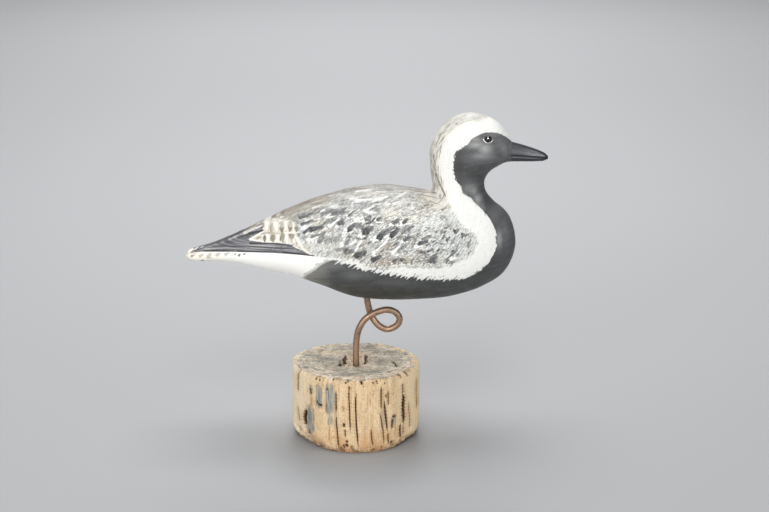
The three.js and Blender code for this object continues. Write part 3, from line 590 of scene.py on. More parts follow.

# %% [markdown]
# Each dark feather ends in a white tip, and the inner feathers of the wing have pale edges. Two painted
# highlights on the back line over the wings are listed with the pale edges. They are brush marks like the
# dark ones, in lists of their own because they take another paint.

# %% White tips and pale edges
FEATHER_TIPS = [
    (300, 216, 313, 210.8, 1.9, 0.8), (302, 222.5, 312, 217.6, 1.6, 0.75),
    (304, 219.3, 309, 217.6, 1.2, 0.6), (301, 229, 311, 224.6, 3.2, 0.7), (303, 234, 313, 233, 1.7, 0.8),
    (308, 240, 320.5, 235.8, 3.6, 1), (316.4, 243, 321.5, 236.5, 1.7, 1), (300, 238, 305, 233, 2, 0.7),
    (320.4, 211.8, 325.6, 208.8, 1.6, 0.85), (312, 208, 324, 204.6, 1.5, 0.5),
    (327, 216.2, 332, 212.8, 1.6, 0.9), (327, 217.6, 333, 216.6, 2.4, 1), (319, 215, 320, 214, 1.4, 0.7),
    (313.6, 219.4, 320, 218.4, 1.4, 0.7), (328, 225, 330, 223, 2.4, 0.8),
    (322, 230.6, 331, 225.6, 1.3, 0.8), (330, 226.4, 339.6, 218.4, 3, 1), (336, 226.6, 343, 225, 2, 0.95),
    (346.6, 215.8, 352, 210.8, 1.8, 0.9), (352, 210.8, 357, 208.6, 1.6, 0.75),
    (347, 218.2, 355, 217.4, 1.5, 0.8), (356.5, 219.6, 362, 217.4, 4.6, 0.9),
    (360, 221.6, 370, 221.4, 2.2, 0.95), (363, 220, 366.5, 215.5, 2.1, 0.9),
    (364.5, 211.2, 374, 205.4, 2.4, 0.95), (366, 212.4, 377, 212, 2, 0.7), (345, 230, 356, 220.4, 3.4, 1),
    (343, 232.6, 353, 231.8, 2.8, 0.95), (359, 236.5, 371.5, 224.6, 3.6, 1),
    (360, 237.4, 366.5, 236, 2.4, 0.95), (371, 224.8, 375, 225.2, 1.5, 0.8),
    (372.5, 239.5, 384.5, 228.8, 5, 1), (373, 241.4, 383.5, 239.3, 2.8, 1),
    (341.6, 245, 346, 238.4, 4.8, 1), (346, 245.6, 355.5, 241.6, 1.6, 0.8),
    (352, 244.4, 360, 236, 1.6, 0.75), (355, 249, 361.5, 240.6, 4, 1), (373, 253.6, 381, 246.4, 3.6, 1),
    (374, 256.6, 378, 255.8, 1.6, 0.7), (382.6, 245.4, 389, 237.4, 3, 0.95),
    (392.4, 253, 400, 245.4, 3.8, 1), (395, 255.6, 401, 254.2, 2.2, 0.85),
    (375, 220.8, 378.6, 215.4, 1.6, 0.9), (377, 222.4, 383.5, 222.6, 2.2, 0.95),
    (390, 224.6, 396.8, 217.8, 2.6, 1), (391, 225.2, 402, 225.4, 1.9, 0.95),
    (401, 222.4, 406.8, 217.4, 2.4, 1), (402, 224.6, 412, 223.4, 2.2, 0.95),
    (385.6, 237, 393.4, 229.8, 3.4, 1), (387.5, 237.4, 397, 237.6, 2.2, 0.95),
    (402, 241, 407.6, 234.6, 2.4, 1), (403, 241.6, 407.5, 241, 2.6, 0.95),
    (415.5, 246.6, 422.5, 246, 4.8, 1), (416.5, 243, 421, 239.4, 1.6, 0.85),
    (421, 234, 433, 234.6, 1.6, 0.85), (428, 254, 434.5, 253, 1.5, 0.8),
    (451.5, 258.8, 455.5, 258.4, 5.4, 0.95), (426, 249, 429, 247, 1.7, 0.7),
    (436, 250.5, 439, 246.5, 1.5, 0.8), (444, 248, 450, 246, 2.2, 0.75), (332, 207, 341, 203.4, 2.2, 0.4),
    (351, 203.6, 362, 200.8, 2, 0.6), (355, 200.4, 372, 198.8, 2, 0.7), (372, 201.4, 388, 196.4, 3, 0.8),
    (350, 199, 357, 197.8, 1.7, 0.6), (388, 204.4, 400, 201.8, 1.8, 0.6),
    (356, 191.4, 368, 189.4, 1.6, 0.5), (376, 191.4, 386, 190.4, 1.6, 0.6),
    (328, 195.6, 340, 193.4, 1.6, 0.5), (395, 198.6, 406, 192, 2.4, 0.5), (420, 222, 428, 217.4, 2.6, 0.7),
    (424, 226, 430, 221.4, 2, 0.6), (431, 227, 433, 221, 1.6, 0.5), (437, 224.6, 443, 221, 2.4, 0.6),
    (303, 231.6, 306, 228, 1.6, 0.7),
]
PALE_EDGES_AND_HIGHLIGHTS = [
    (249.6, 239, 262, 232.8, 1.8, 1), (250, 239.6, 263, 241.6, 1.8, 1), (262, 241.4, 280, 242, 1.8, 0.9),
    (267.8, 236, 268, 241.6, 3.6, 1), (277.8, 236, 278, 241.8, 3.6, 1), (286.8, 236, 287, 243, 3.6, 1),
    (266.6, 222, 266.8, 230, 3.8, 0.95), (276, 223.4, 276.4, 229.6, 3.8, 1),
    (285.4, 222, 285.6, 230, 2.8, 0.9), (293.6, 223, 293.6, 231, 1.8, 0.8),
    (284, 232.8, 300, 232.4, 1.8, 0.9), (296, 236, 303, 249, 3.4, 1), (302, 248, 312, 255.2, 2.2, 1),
    (290, 244, 301, 250, 1.6, 0.9), (293, 240.4, 301, 247, 3, 0.6), (264.4, 218.8, 270.4, 217.2, 3, 1),
    (275, 214.6, 279, 212.6, 1.8, 0.8), (281, 217.2, 284, 216.4, 2.4, 0.7),
    (229, 239.6, 244, 233.2, 1.1, 0.5), (244, 232.8, 262, 225.4, 3, 0.8), (215, 248.2, 250, 248, 1, 0.2),
    # Painted highlights on the back line: (201, 247, 205.4, 245) in this row and (256, 224.8, 264, 221.6) two
    # rows down.
    (250, 247.8, 292, 250.4, 1, 0.3), (194, 248.8, 197, 247.8, 2.4, 0.9), (201, 247, 205.4, 245, 1.6, 0.9),
    (188, 257.4, 198, 261.4, 2.2, 0.8), (204, 248.8, 216, 248.6, 1.2, 0.4),
    (249, 245.2, 290, 246.8, 1, 0.3), (256, 224.8, 264, 221.6, 1.4, 0.8), (265, 221, 271, 218, 2.6, 0.9),
    (276.4, 215.6, 280, 214, 2, 0.8),
]
print("feather tips:", len(FEATHER_TIPS), "pale edges and painted highlights:", len(PALE_EDGES_AND_HIGHLIGHTS))

# %% [markdown]
# Where black meets white the painter flicked single hairs of the brush across the edge, white down over
# the belly and dark up into the band. They are many and much alike, so a loop sets them along the edge,
# with a wandering hand. The hand's seed is fixed, so that they fall the same way each time.

# %% Hairs across the painted edges
hand = np.random.default_rng(7)


def hairs_across(edge, spacing, back, reach, degrees, width, strength):
    """Brush hairs set down on one side of an edge and flicked across it: from, to, width, strength."""
    line = edge_line(edge, 400)
    length = np.append(0, np.cumsum(np.linalg.norm(np.diff(line, axis=0), axis=1)))
    places = np.arange(spacing / 2, length[-1], spacing)
    places = places + hand.uniform(-0.5, 0.5, len(places)) * spacing
    hairs = []
    for place in places:
        x, y = (np.interp(place, length, line[:, axis]) for axis in (0, 1))
        turn = radians(degrees + hand.normal(0, 8))
        way_x, way_y = cos(turn), -sin(turn)
        long = reach * hand.uniform(0.3, 1.25)
        hairs.append((
            x - back * way_x, y - back * way_y, x + long * way_x, y + long * way_y,
            width * hand.uniform(0.75, 1.25), strength * hand.uniform(0.8, 1),
        ))
    return hairs


TAIL_END_OF_BLACK, FLANK_EDGE, BREAST_EDGE = BLACK_EDGE[1:6], BLACK_EDGE[6:18], BLACK_EDGE[17:22]
THROAT_EDGE, FACE_EDGE, BROW_EDGE = BLACK_EDGE[21:28], BLACK_EDGE[27:37], BLACK_EDGE[37:44]
# Edge, spacing, how far behind it the brush is set down, reach, direction in degrees, width, strength.
HAIR_ROWS = {
    "white_hair": [
        (FLANK_EDGE, 2.4, 1.6, 4.9, 216, 1.7, 1),
        (BREAST_EDGE, 2, 1, 1.5, 260, 1.7, 1),
        (THROAT_EDGE, 2.2, 1, 1.5, 325, 1.6, 1),
    ],
    "dark_hair": [
        (FLANK_EDGE, 2.7, 1.4, 3.6, 38, 1.5, 0.95),
        (BREAST_EDGE, 2.6, 1, 1.4, 165, 1.4, 0.8),
        (THROAT_EDGE, 2.4, 1, 1.6, 165, 1.5, 0.85),
        (FACE_EDGE, 1.7, 1, 2.1, 178, 1.5, 1),
        (BROW_EDGE, 1.4, 1, 0.9, 40, 1.3, 0.7),
    ],
    "grey_hair": [
        (TAIL_END_OF_BLACK, 1.1, 4, 4, 168, 2.6, 0.85),
        (BLACK_EDGE[5:8], 1.6, 1, 1.4, 140, 1.6, 0.6),
    ],
    "band_hair": [(MANTLE_EDGE[8:19], 2.6, 1, 6.5, 38, 1.9, 1)],
    "low_hair": [(MANTLE_EDGE[9:18], 2.3, 1, 3.6, 218, 1.5, 0.9)],
}
hairs = {name: sum((hairs_across(*row) for row in rows), []) for name, rows in HAIR_ROWS.items()}
print("hairs:", {name: len(marks) for name, marks in hairs.items()})

# %% Brush marks on the bird
# Marks, how full the brush is, how much it thins, how much the paint fades along the mark.
MOUTH_CORNER = [(515, 156.1, 508.5, 156, 2, 0.9), (515, 159.6, 507.5, 159.4, 2, 0.9)]
BRUSH_MARKS = {
    "dark_mark": (DARK_DABS, 1.2, 0.35, 0.2),
    "brown_mark": (BROWN_BARS, 1.1, 0.5, 0),
    "thin_mark": (THIN_LINES, 1, 0.5, 0),
    "white_mark": (FEATHER_TIPS, 1.05, 0.6, 0),
    "pale_edge_and_highlight_mark": (PALE_EDGES_AND_HIGHLIGHTS, 1.1, 0.5, 0),
    "white_hair": (hairs["white_hair"], 1.2, 0.8, 0),
    "dark_hair": (hairs["dark_hair"], 1.2, 0.8, 0),
    "mouth_corner": (MOUTH_CORNER, 1.2, 0.8, 0),
    "grey_hair": (hairs["grey_hair"], 1.2, 0.8, 0.5),
    "band_hair": (hairs["band_hair"], 1.2, 0.8, 0.3),
    "low_hair": (hairs["low_hair"], 1.2, 0.8, 0.3),
}
HAND_WANDERS = 0.7
bird_facing = read(bird.data.vertex_normals, "vector")
right_facing = np.where(bird_points[:, 1:2] > 0, bird_facing * MIRROR, bird_facing)
faces_camera = right_facing @ ahead < 0.1


def brush_marks(marks, fullness, taper, fade):
    """Two values: how deep inside a mark each point lies, and how strong that mark is."""
    inside_mark = np.full(len(bird_points), -1.0)
    strength_there = np.zeros(len(bird_points))
    for start_x, start_y, end_x, end_y, width, strength in marks:
        start, way = np.array([start_x, start_y]), np.array([end_x - start_x, end_y - start_y])
        for left in (False, True):
            away = picture - start - hand.normal(0, HAND_WANDERS, 2) * left
            box = np.abs(away - way / 2).max(axis=1) < np.abs(way).max() / 2 + width
            here = np.flatnonzero(box & faces_camera & ((bird_points[:, 1] > 0) == left))
            away = away[here]
            share = np.clip(away @ way / max(way @ way, 1e-9), 0, 1)
            aside = np.linalg.norm(away - share[:, None] * way, axis=1)
            deep = 1 - aside / (width / 2 * (fullness - taper * share))
            better = deep > inside_mark[here]
            inside_mark[here[better]] = deep[better]
            strength_there[here[better]] = strength * (1 - fade * share[better])
    return inside_mark, strength_there


for name, brush in BRUSH_MARKS.items():
    inside_mark, strength_there = brush_marks(*brush)
    store(bird, name, inside_mark)
    store(bird, name + "_strength", strength_there)
print("brush marks:", sum(len(brush[0]) for brush in BRUSH_MARKS.values()))

# %% [markdown]
# The bill is carved in the same way as the body, with a fine groove along each side where its two halves
# meet. The groove is real relief, so it catches a dark line in any light.

# %% Bill
BILL_SECTIONS = [
    ("bill joint", (122.6, 242.3), (122.6, 226.4), 6.7),
    ("nostril", (133.8, 239.1), (133.8, 226.4), 5.1),
    ("middle", (141.4, 236.6), (141.4, 226.4), 4.2),
    ("near tip", (148.4, 233.6), (148.2, 226.9), 3.1),
    ("tip", (151.9, 230.8), (151.7, 228.2), 1.3),
]
BILL_BLUNTNESS = 2
BILL_RINGS, BILL_SIDES = 100, 96
# The mouth's height at the face and at the tip, and half its width, as shares of the bill's height.
MOUTH_HEIGHT = (0.36, 0.46)
MOUTH_HALF_WIDTH = 0.035
MOUTH_DEPTH = 0.75 * MM
SHALLOWER_AT_TIP = 0.6

bill_turns = np.arange(BILL_SIDES) * 2 * np.pi / BILL_SIDES
bill_t = even_steps(BILL_SECTIONS, BILL_RINGS)
bill_rings = carved(BILL_SECTIONS, bill_t, bill_turns, BILL_BLUNTNESS)
height = (1 + np.cos(bill_turns)) / 2
mouth = np.interp(bill_t, [0, 1], MOUTH_HEIGHT)[:, None]
groove = MOUTH_DEPTH * np.exp(-(((height - mouth) / MOUTH_HALF_WIDTH) ** 2))
groove *= (1 - SHALLOWER_AT_TIP * bill_t)[:, None]
bill_rings[..., 1] -= np.sign(bill_rings[..., 1]) * np.minimum(groove, np.abs(bill_rings[..., 1]) * 0.5)
bill = piece_from_rings("painted_bill", bill_rings)
bill_heights = np.ptp(bill_rings[..., 2], axis=1)[:, None]
in_height = {"from_mouth": height - mouth, "from_ridge": 1 - height, "from_keel": height}
for name, share in in_height.items():
    spread = np.broadcast_to(share * bill_heights, bill_rings.shape[:2])
    store(bill, name, np.append(spread.ravel(), [MM, MM]))
print("deepest groove in millimetres:", (groove.max() / MM).round(2))

# %% [markdown]
# A glass eye is a ball set into the wood so that only its front shows. The ball is the same as the
# solid's, only smoother. Its pupil and iris are painted in its material.

# %% Eyes
# Rings of a ball whose poles lie along Y.
EYE_RINGS, EYE_SIDES = 40, 56
POLE_GAP = 0.02
tilt = np.linspace(POLE_GAP, np.pi - POLE_GAP, EYE_RINGS)[:, None]
turn = np.arange(EYE_SIDES) * 2 * np.pi / EYE_SIDES
out = np.sin(tilt)
ball = np.stack([out * np.cos(turn), np.cos(tilt) + 0 * turn, out * np.sin(turn)], axis=-1)

eyes = {}
for side in ("left", "right"):
    low, high = (np.array(corner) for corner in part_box("glass_eye_" + side))
    middle = np.array([EYE_AT[0], (low[1] + high[1]) / 2, EYE_AT[1]])
    eyes[side] = piece_from_rings("eye_" + side, middle + EYE_RADIUS * ball)
    print("eye", side, (middle / MM).round(1))

# %% [markdown]
# The leg is one thick wire. Its route repeats the solid's: straight up out of the block, over into a
# loop, behind itself and up into the belly. The tube is swept along that route with a frame that turns
# as little as possible, so the drawn marks on the metal run true along it.

# %% Wire route
WIRE_RADIUS = 2.6 * MM
STRANDS_APART = 5.5
LOOP_X, LOOP_Z, LOOP_LONG, LOOP_HIGH, LOOP_TWIST = 24.2, 96, 11, 8.7, 0.8
LEG_BELOW_LOOP = [
    (0, 0, 26), (0, 0, 52), (-0.1, 0, 68), (0.5, -0.1, 80), (2.2, -0.3, 88), (5.9, -0.42, 95.2),
    (11.2, -0.5, 100.2),
]
LEG_ABOVE_LOOP = [
    (18.6, 0.4, 90.1), (14.8, 0.47, 94.4), (12, 0.5, 99.4), (10.4, 0.4, 105), (9.3, 0.2, 110.5),
    (8.6, 0, 116), (7.79, 0, 143),
]
loop_turns = np.radians(np.arange(120, -91, -30))
loop_side = (np.arange(len(loop_turns)) / (len(loop_turns) - 1) - 0.5) * LOOP_TWIST
loop_x, loop_z = LOOP_X + LOOP_LONG * np.cos(loop_turns), LOOP_Z + LOOP_HIGH * np.sin(loop_turns)
in_loop = np.stack([loop_x, loop_side, loop_z], axis=-1)
route = np.vstack([LEG_BELOW_LOOP, in_loop, LEG_ABOVE_LOOP]) * (1, STRANDS_APART, 1)
print("wire route:", len(route), "points")


# %% Wire leg
def chord_curve(points, count):
    """The solid's own curve: smooth through points that are unevenly spaced."""
    points = np.vstack([2 * points[0] - points[1], points, 2 * points[-1] - points[-2]])
    out = []
    for p0, p1, p2, p3 in zip(points, points[1:], points[2:], points[3:]):
        d0, d1, d2 = (max(np.linalg.norm(b - a) ** 0.5, 1e-4) for a, b in ((p0, p1), (p1, p2), (p2, p3)))
        rise = ((p1 - p0) / d0 - (p2 - p0) / (d0 + d1) + (p2 - p1) / d1) * d1
        fall = ((p2 - p1) / d1 - (p3 - p1) / (d1 + d2) + (p3 - p2) / d2) * d1
        out.append(curve(p1, p2, rise, fall, np.linspace(0, 1, 60, endpoint=False)[:, None]))
    line = np.vstack(out + [points[-2:-1]])
    steps = np.linalg.norm(np.diff(line, axis=0), axis=1)
    return np.stack([evenly(line[:, k], steps, count) for k in range(3)], axis=-1)


def tube_rings(line, radius, sides):
    turn = np.arange(sides) * 2 * np.pi / sides
    tangents = np.gradient(line, axis=0)
    tangents /= np.linalg.norm(tangents, axis=1)[:, None]
    side = np.array([0.0, 1.0, 0.0])
    rings = []
    for point, tangent in zip(line, tangents):
        side = side - tangent * (side @ tangent)
        side /= np.linalg.norm(side)
        other = np.cross(tangent, side)
        rings.append(point + radius * (np.cos(turn)[:, None] * side + np.sin(turn)[:, None] * other))
    return np.array(rings)


WIRE_RINGS, WIRE_SIDES = 360, 40
wire_line = chord_curve(route, WIRE_RINGS) * MM
wire = piece_from_rings("wire_leg_bent", tube_rings(wire_line, WIRE_RADIUS, WIRE_SIDES))
print("wire:", round(float(np.sum(np.linalg.norm(np.diff(wire_line, axis=0), axis=1))), 3), "m")

# %% [markdown]
# The block is a slice of a post that has stood outside for years. Its form repeats the solid's: a trunk
# that is not quite round, a worn foot and rim, splits down the grain, lost flakes and a rotted heart.
# It is a grid too, turned like a pot: one profile from the underside to the middle of the top.

# %% Block form
BLOCK_DIAMETER, BLOCK_HEIGHT = 103.4, 61
TRUNK_RADIUS = BLOCK_DIAMETER / 2
COLUMNS = 592
UNDERSIDE_ROWS, FOOT_ROWS, SIDE_ROWS, RIM_ROWS, TOP_ROWS = 3, 13, 86, 10, 46
FINER_IN_FRONT = 1.3
FOOT_SLOPE, RIM_SLOPE, TOP_CROWN = 1.5, 1.2, 1.2


def trunk_radius(turn):
    trunk = TRUNK_RADIUS - 0.6 - 0.6 * np.cos(turn) + 0.5 * np.sin(2 * turn + 0.7)
    return trunk + 0.35 * np.sin(5 * turn + 1.9) + 0.25 * np.sin(9 * turn)


# More than twice as many columns stand on the side that the photo shows.
fine_angle = np.linspace(-np.pi, np.pi, 20001)
crowding = 1 + FINER_IN_FRONT / (1 + np.exp(-(np.sin(-fine_angle) - 0.1) * 12))
reached = np.cumsum(crowding)
angle = np.interp(np.arange(COLUMNS) / COLUMNS * reached[-1], reached, fine_angle)[::-1]
turn = -angle
trunk = trunk_radius(turn)
foot = 2.5 + 5.5 * np.cos(turn) ** 2
rim = 2.4 + 1.1 * np.sin(3 * turn + 0.5) + 0.6 * np.sin(7 * turn)
foot_top = FOOT_SLOPE * foot
rim_bottom = BLOCK_HEIGHT - RIM_SLOPE * rim


def profile_row(part, share):
    """Radius and height right round the block, at one step of its profile."""
    bend = share * np.pi / 2
    if part == "underside":
        return (trunk - foot) * share, np.zeros(COLUMNS)
    if part == "foot":
        return trunk - foot * (1 - np.sin(bend)), foot_top * (1 - np.cos(bend))
    if part == "side":
        return trunk, foot_top + (rim_bottom - foot_top) * share
    if part == "rim":
        return trunk - rim * (1 - np.cos(bend)), BLOCK_HEIGHT - RIM_SLOPE * rim * (1 - np.sin(bend))
    return (trunk - rim) * (1 - share), np.full(COLUMNS, BLOCK_HEIGHT - TOP_CROWN * share)


profile = [("underside", share) for share in (0.3, 0.7, 0.92)]
profile += [("foot", share) for share in np.linspace(0, 0.92, FOOT_ROWS)]
profile += [("side", share) for share in np.linspace(0, 0.985, SIDE_ROWS)]
profile += [("rim", share) for share in np.linspace(0, 0.9, RIM_ROWS)]
profile += [("top", share) for share in np.linspace(0, 0.995, TOP_ROWS)]
part = np.array([name for name, _ in profile])[:, None]
radius, height = (np.array(rows) for rows in zip(*(profile_row(*step) for step in profile)))
around = np.broadcast_to(angle, radius.shape)
arc = around * TRUNK_RADIUS
on_top = part == "top"
on_side = ~on_top & (part != "underside")
x, y = radius * np.cos(around), radius * np.sin(around)
print("block grid:", radius.shape)

# %% [markdown]
# Splits, pits and stains are placed where the photo shows them, each as a short line of places in the
# picture. A line of sight is followed to the trunk, or to the flat top, to find where each one lies. The
# sides that the photo does not show have splits of the same kind, from the solid.

# %% Splits, pits and flakes of the sides
# Width and depth in millimetres, then places in the picture.
FRONT_SPLITS = [
    (1.3, 2.6, (299.2, 371.4), (298.6, 376), (298.2, 386), (298.8, 393)),
    (1, 1.8, (298.3, 404), (298.7, 410), (299.3, 416), (299.5, 423)),
    (1.4, 2.5, (310, 387), (310.4, 391), (311.6, 395)), (0.7, 0.9, (311.6, 395), (311.8, 408)),
    (1.3, 3.2, (315.4, 400), (316.4, 403.4), (318.6, 405.4), (322, 406.3)),
    (1.8, 6, (305.7, 409), (305.3, 413), (304.2, 417), (304.7, 421), (305.5, 426)),
    (1, 1.6, (306.6, 427), (308.6, 432), (310.4, 436)), (2.2, 4, (310.6, 436.6), (312, 439.6)),
    (1.2, 1.4, (326.2, 387.6), (326.6, 391.6)), (1, 0.9, (325.8, 403), (325.8, 409), (326, 414)),
    (1.2, 2.3, (335.5, 391), (335.6, 404), (335.6, 414)),
    (1, 2.8, (335.7, 414), (336, 424), (336.8, 432), (337.5, 441), (338.5, 450.5)),
    (0.9, 2.6, (349, 385), (348.9, 391), (348.8, 398), (349.4, 408), (349.8, 420), (350.4, 434)),
    (1.05, 3, (355, 391), (356.4, 395.4), (355.6, 399), (355.8, 410), (356.3, 424),
     (357.8, 441), (358.6, 449)),
    (1.7, 3.4, (343.5, 423.6), (343.8, 427.6)), (1, 2, (344.6, 429), (345.3, 438)),
    (2, 2.6, (345.6, 442), (348.2, 442)), (2, 3, (346.3, 444), (347, 447.5)),
    (1.5, 2.4, (342.6, 445), (344.6, 448.4)), (1.2, 1.6, (351.5, 446), (352, 450)),
    (1, 1.8, (371.2, 429), (371.8, 437), (372.4, 442), (373.6, 447)),
    (1.1, 2.6, (381.4, 386), (381.4, 394), (381.5, 402), (381.6, 410)),
    (1, 1.8, (379, 412.5), (380.8, 416), (382, 421), (383.2, 429), (384, 444)),
    (1.3, 1.8, (386.3, 394.4), (386.6, 397.6)), (1.4, 1.3, (388.3, 390), (388.6, 400), (388.6, 406)),
    (1.3, 3.2, (384.6, 400), (384.8, 406), (385.5, 411), (386.2, 418), (387, 426), (387.8, 432)),
    (1.1, 2, (387.8, 432), (388.2, 440), (388.6, 445)),
    (1.2, 2.4, (402.8, 383), (403.2, 391), (402.6, 394)),
    (2.8, 8, (402.6, 394), (404, 398.6), (403.6, 404), (403.8, 410), (404.2, 418), (404, 424)),
    (1.6, 4, (400.6, 423.5), (400.4, 430), (400.8, 438)), (0.9, 1.6, (403.6, 425), (403.6, 434.6)),
    (0.9, 1.4, (409.4, 400), (409.6, 408), (410.4, 420), (410.6, 430)),
    (1, 2, (416.6, 374), (416.5, 386), (416.6, 398), (417, 410)), (1.6, 2.6, (392.4, 416.6), (397, 416.4)),
    (2, 2.4, (393.6, 419), (392.8, 423), (392, 428.6)), (2.2, 3, (391.4, 443.8), (392.8, 440.8)),
    (1.1, 1.4, (382, 446), (382, 449)), (1.3, 1.8, (399.4, 374), (400.4, 376), (402, 376.8)),
    (1.4, 2.2, (406.4, 371), (407.6, 373), (408.6, 375.6)),
    (1.4, 2.2, (360.3, 380.4), (361.2, 382), (361.9, 384.2)),
    (1.8, 0.6, (341.2, 406), (343.6, 409), (342, 412)), (1.6, 1.4, (307, 429), (309, 433)),
    (1.4, 1.6, (297.6, 427), (298.8, 430)), (1.3, 2, (348.6, 387), (349.6, 390)),
]
# Small round pits near the rim: place in the picture, width and depth in millimetres.
RIM_PITS = [
    (299.4, 371.2, 2, 2.4), (315.6, 379, 2, 1.6), (319, 380.2, 1.8, 1.8), (321.4, 377, 1.8, 0.8),
    (328.6, 378.6, 1.8, 1), (332, 380.2, 1.6, 1.8), (345.5, 383.6, 1.7, 2.6), (347.6, 381.8, 1.8, 1.6),
    (361.8, 383.8, 1.8, 2.4), (373.4, 383, 1.6, 1.6), (376.8, 381.6, 1.6, 2), (377.6, 383.4, 1.4, 1.8),
    (384.8, 383.4, 1.5, 1.8), (387.8, 376, 1.8, 1), (318, 384.4, 1.4, 1), (363.4, 387, 1.8, 0.7),
]
# All round the back: angle in degrees from +X at the low and the high end, low end, high end, width, depth.
BACK_SPLITS = [
    (22, 24, 2, 46, 1.8, 6), (40, 41, 20, 58, 1, 2.4), (57, 55, 16, 60, 1.4, 4), (70, 70.5, 2, 30, 0.8, 2),
    (83, 85, 0, 38, 2, 6), (97, 97, 10, 52, 0.9, 2.4), (118, 117, 6, 60, 1.6, 5), (132, 133, 0, 34, 1, 3),
    (146, 145, 22, 58, 0.9, 2.4), (161, 159, 2, 50, 2, 6), (174, 175, 8, 44, 0.9, 2.4),
    (8, 7, 10, 56, 1, 3),
]
# Flakes that are lost: place in the picture, width and height in pixels, depth in millimetres, and how
# grey the wood there is.
FRONT_SCARS = [
    (318.2, 397, 8, 22, 1.6, 1), (311, 389.6, 4, 11, 0.8, 0.8), (329.2, 400.5, 10, 33, 0.6, 1),
    (309.8, 420.5, 10, 29, 1.6, 1), (330, 421, 6, 12, 0.2, 0.7), (394, 421, 5.4, 13, 0.7, 0.75),
    (300, 429, 8, 9, 2, 0.15), (306, 436, 7, 6, 2.4, 0.2), (312, 440, 7, 5, 2.6, 0.25),
    (319, 445.4, 4, 5, 2.2, 0), (391.6, 443.4, 4, 5, 1.4, 0), (402, 439, 5, 4, 2, 0),
    (383.6, 420, 3.6, 20, 0.5, 0.4), (364.8, 431, 5, 3, 0.4, 0.2),
]
# The same on the back, by angle in degrees, and height, width, height and depth in millimetres.
BACK_SCARS = [(40, 14, 20, 16, 3, 1), (100, 52, 16, 18, 2.2, 0.8)]
print("splits and pits:", len(FRONT_SPLITS) + len(BACK_SPLITS) + len(RIM_PITS))

# %% Cracks, stains and rot of the top
# Width and depth in millimetres, then places in the picture.
TOP_CRACKS = [
    (2.3, 4, (391.6, 360.4), (394.4, 362.6), (395.6, 364.6), (396.3, 366.8)),
    (3, 7, (395.9, 365.2), (396.5, 366.8)),
    (1.9, 1.5, (304, 361), (308, 362.6), (312, 364.6), (317, 367.4)),
    (2.4, 4, (345.4, 356.4), (346.8, 361.4)), (2.6, 3, (352, 364.8), (357, 365.4), (362.6, 364)),
    (2, 1.8, (362, 363.8), (369, 361.4)), (1.4, 0.8, (332, 368.6), (336, 370.6), (341, 373.4)),
    (1.4, 0.8, (344, 374.4), (349, 376.6)), (1.6, 1, (375.6, 353.4), (379, 351.2)),
    (2.2, 1.2, (347.4, 352.4), (349.4, 353)), (1.8, 1.6, (380.4, 371.8), (381, 373)),
    (1.8, 1.6, (382, 373.4), (382.8, 375)), (2.6, 1.4, (309, 355.2), (309.8, 356)),
    (2.6, 1.6, (317.4, 356.8), (319, 357.4)), (2, 0.8, (312, 359), (314, 359.4)),
    (2.4, 1.2, (305.6, 368), (306.4, 368.4)), (2.4, 1, (319, 348.4), (320, 348.6)),
    (2, 0.8, (349, 343.8), (351, 343.8)), (1.4, 0.6, (384.6, 350.6), (388, 351.4)),
    (1.4, 0.8, (405, 357), (411, 359)), (2.6, 0.7, (402, 353.6), (407.6, 355)),
    (1.6, 0.8, (376, 368.4), (379, 369.6)), (1.8, 0.8, (384, 371), (385.4, 370.6)),
    (1.8, 0.7, (338, 377.4), (340, 377.6)), (1.6, 0.7, (309, 374.4), (311.4, 374.6)),
    (1.6, 0.6, (304, 371), (306.4, 371.4)), (1.4, 0.5, (315, 368), (320, 374.6)),
    (1.4, 0.5, (326.6, 366.6), (327.4, 369.6)), (1.4, 0.5, (342, 369), (344, 370)),
]
# Places in the picture, half width and half height in pixels, strength: areas of the top that are dark.
DARK_ON_TOP = [
    (313, 356, 7, 4, 0.7), (326, 359, 12, 3, 0.8), (330, 364, 12, 1.6, 0.7), (348, 375, 16, 2, 0.9),
    (380, 361, 12, 3, 0.8), (368, 347, 12, 2.4, 0.8), (341, 348, 6, 2, 0.7), (387, 352, 12, 1.8, 0.7),
    (405, 354, 5, 2, 0.9), (372, 371, 12, 3, 0.7), (338, 370, 9, 2, 0.6), (309, 355, 2, 1.4, 1),
    (318, 357, 1.8, 1.2, 1), (305.8, 368, 2, 1.2, 1), (319.4, 348.6, 2, 1.2, 0.9), (376, 352, 5, 1.6, 0.9),
    (348, 352.4, 2.4, 1.2, 0.9), (341, 373.4, 5, 1.6, 0.8), (326, 366.4, 8, 1, 0.6), (396, 360, 6, 2, 0.4),
]
# The same for areas that are tan.
TAN_ON_TOP = [
    (407, 372, 13, 3.6, 1), (295, 364, 5, 5, 0.9), (330, 353, 12, 2.4, 0.8), (357, 353.4, 15, 3, 0.9),
    (381, 347.6, 7, 1.6, 0.7), (392, 374, 8, 2, 0.6), (308, 360.4, 4, 1.6, 0.5), (350, 366.4, 14, 1.4, 0.5),
    (356, 378, 20, 1.6, 0.5), (414, 362, 4, 5, 0.6), (318, 352, 8, 2, 0.4), (314, 377, 12, 2, 0.7),
]
# The same for the painted shadow in the hollows of the heart.
HEART_SHADOWS = [
    (340.4, 365.2, 2.6, 1.8, 1), (342, 363.2, 2.6, 2.2, 1), (343.6, 360.8, 2.4, 2.4, 0.95),
    (345.2, 358.2, 1.8, 2.6, 0.85), (340.6, 360.4, 1.8, 1.4, 0.6), (365.4, 359.6, 1.8, 2.6, 0.95),
    (366, 356.8, 2, 2.2, 0.85), (368.4, 360.2, 1.6, 1.6, 0.6), (339.4, 357, 1.2, 1.6, 0.5),
    (349, 365.6, 1.8, 0.8, 0.3), (347, 355, 1.6, 0.8, 0.35),
]
# Hollows round the wire: middle in the picture, width and depth in millimetres.
HEART_PITS = [
    (341.6, 364.2, 4.4, 9), (343, 361.4, 5.4, 6), (341, 360, 4, 4),
    (366, 359.8, 4.6, 8), (366.4, 357, 4.2, 6),
]
print("cracks and holes on top:", len(TOP_CRACKS) + len(HEART_PITS))


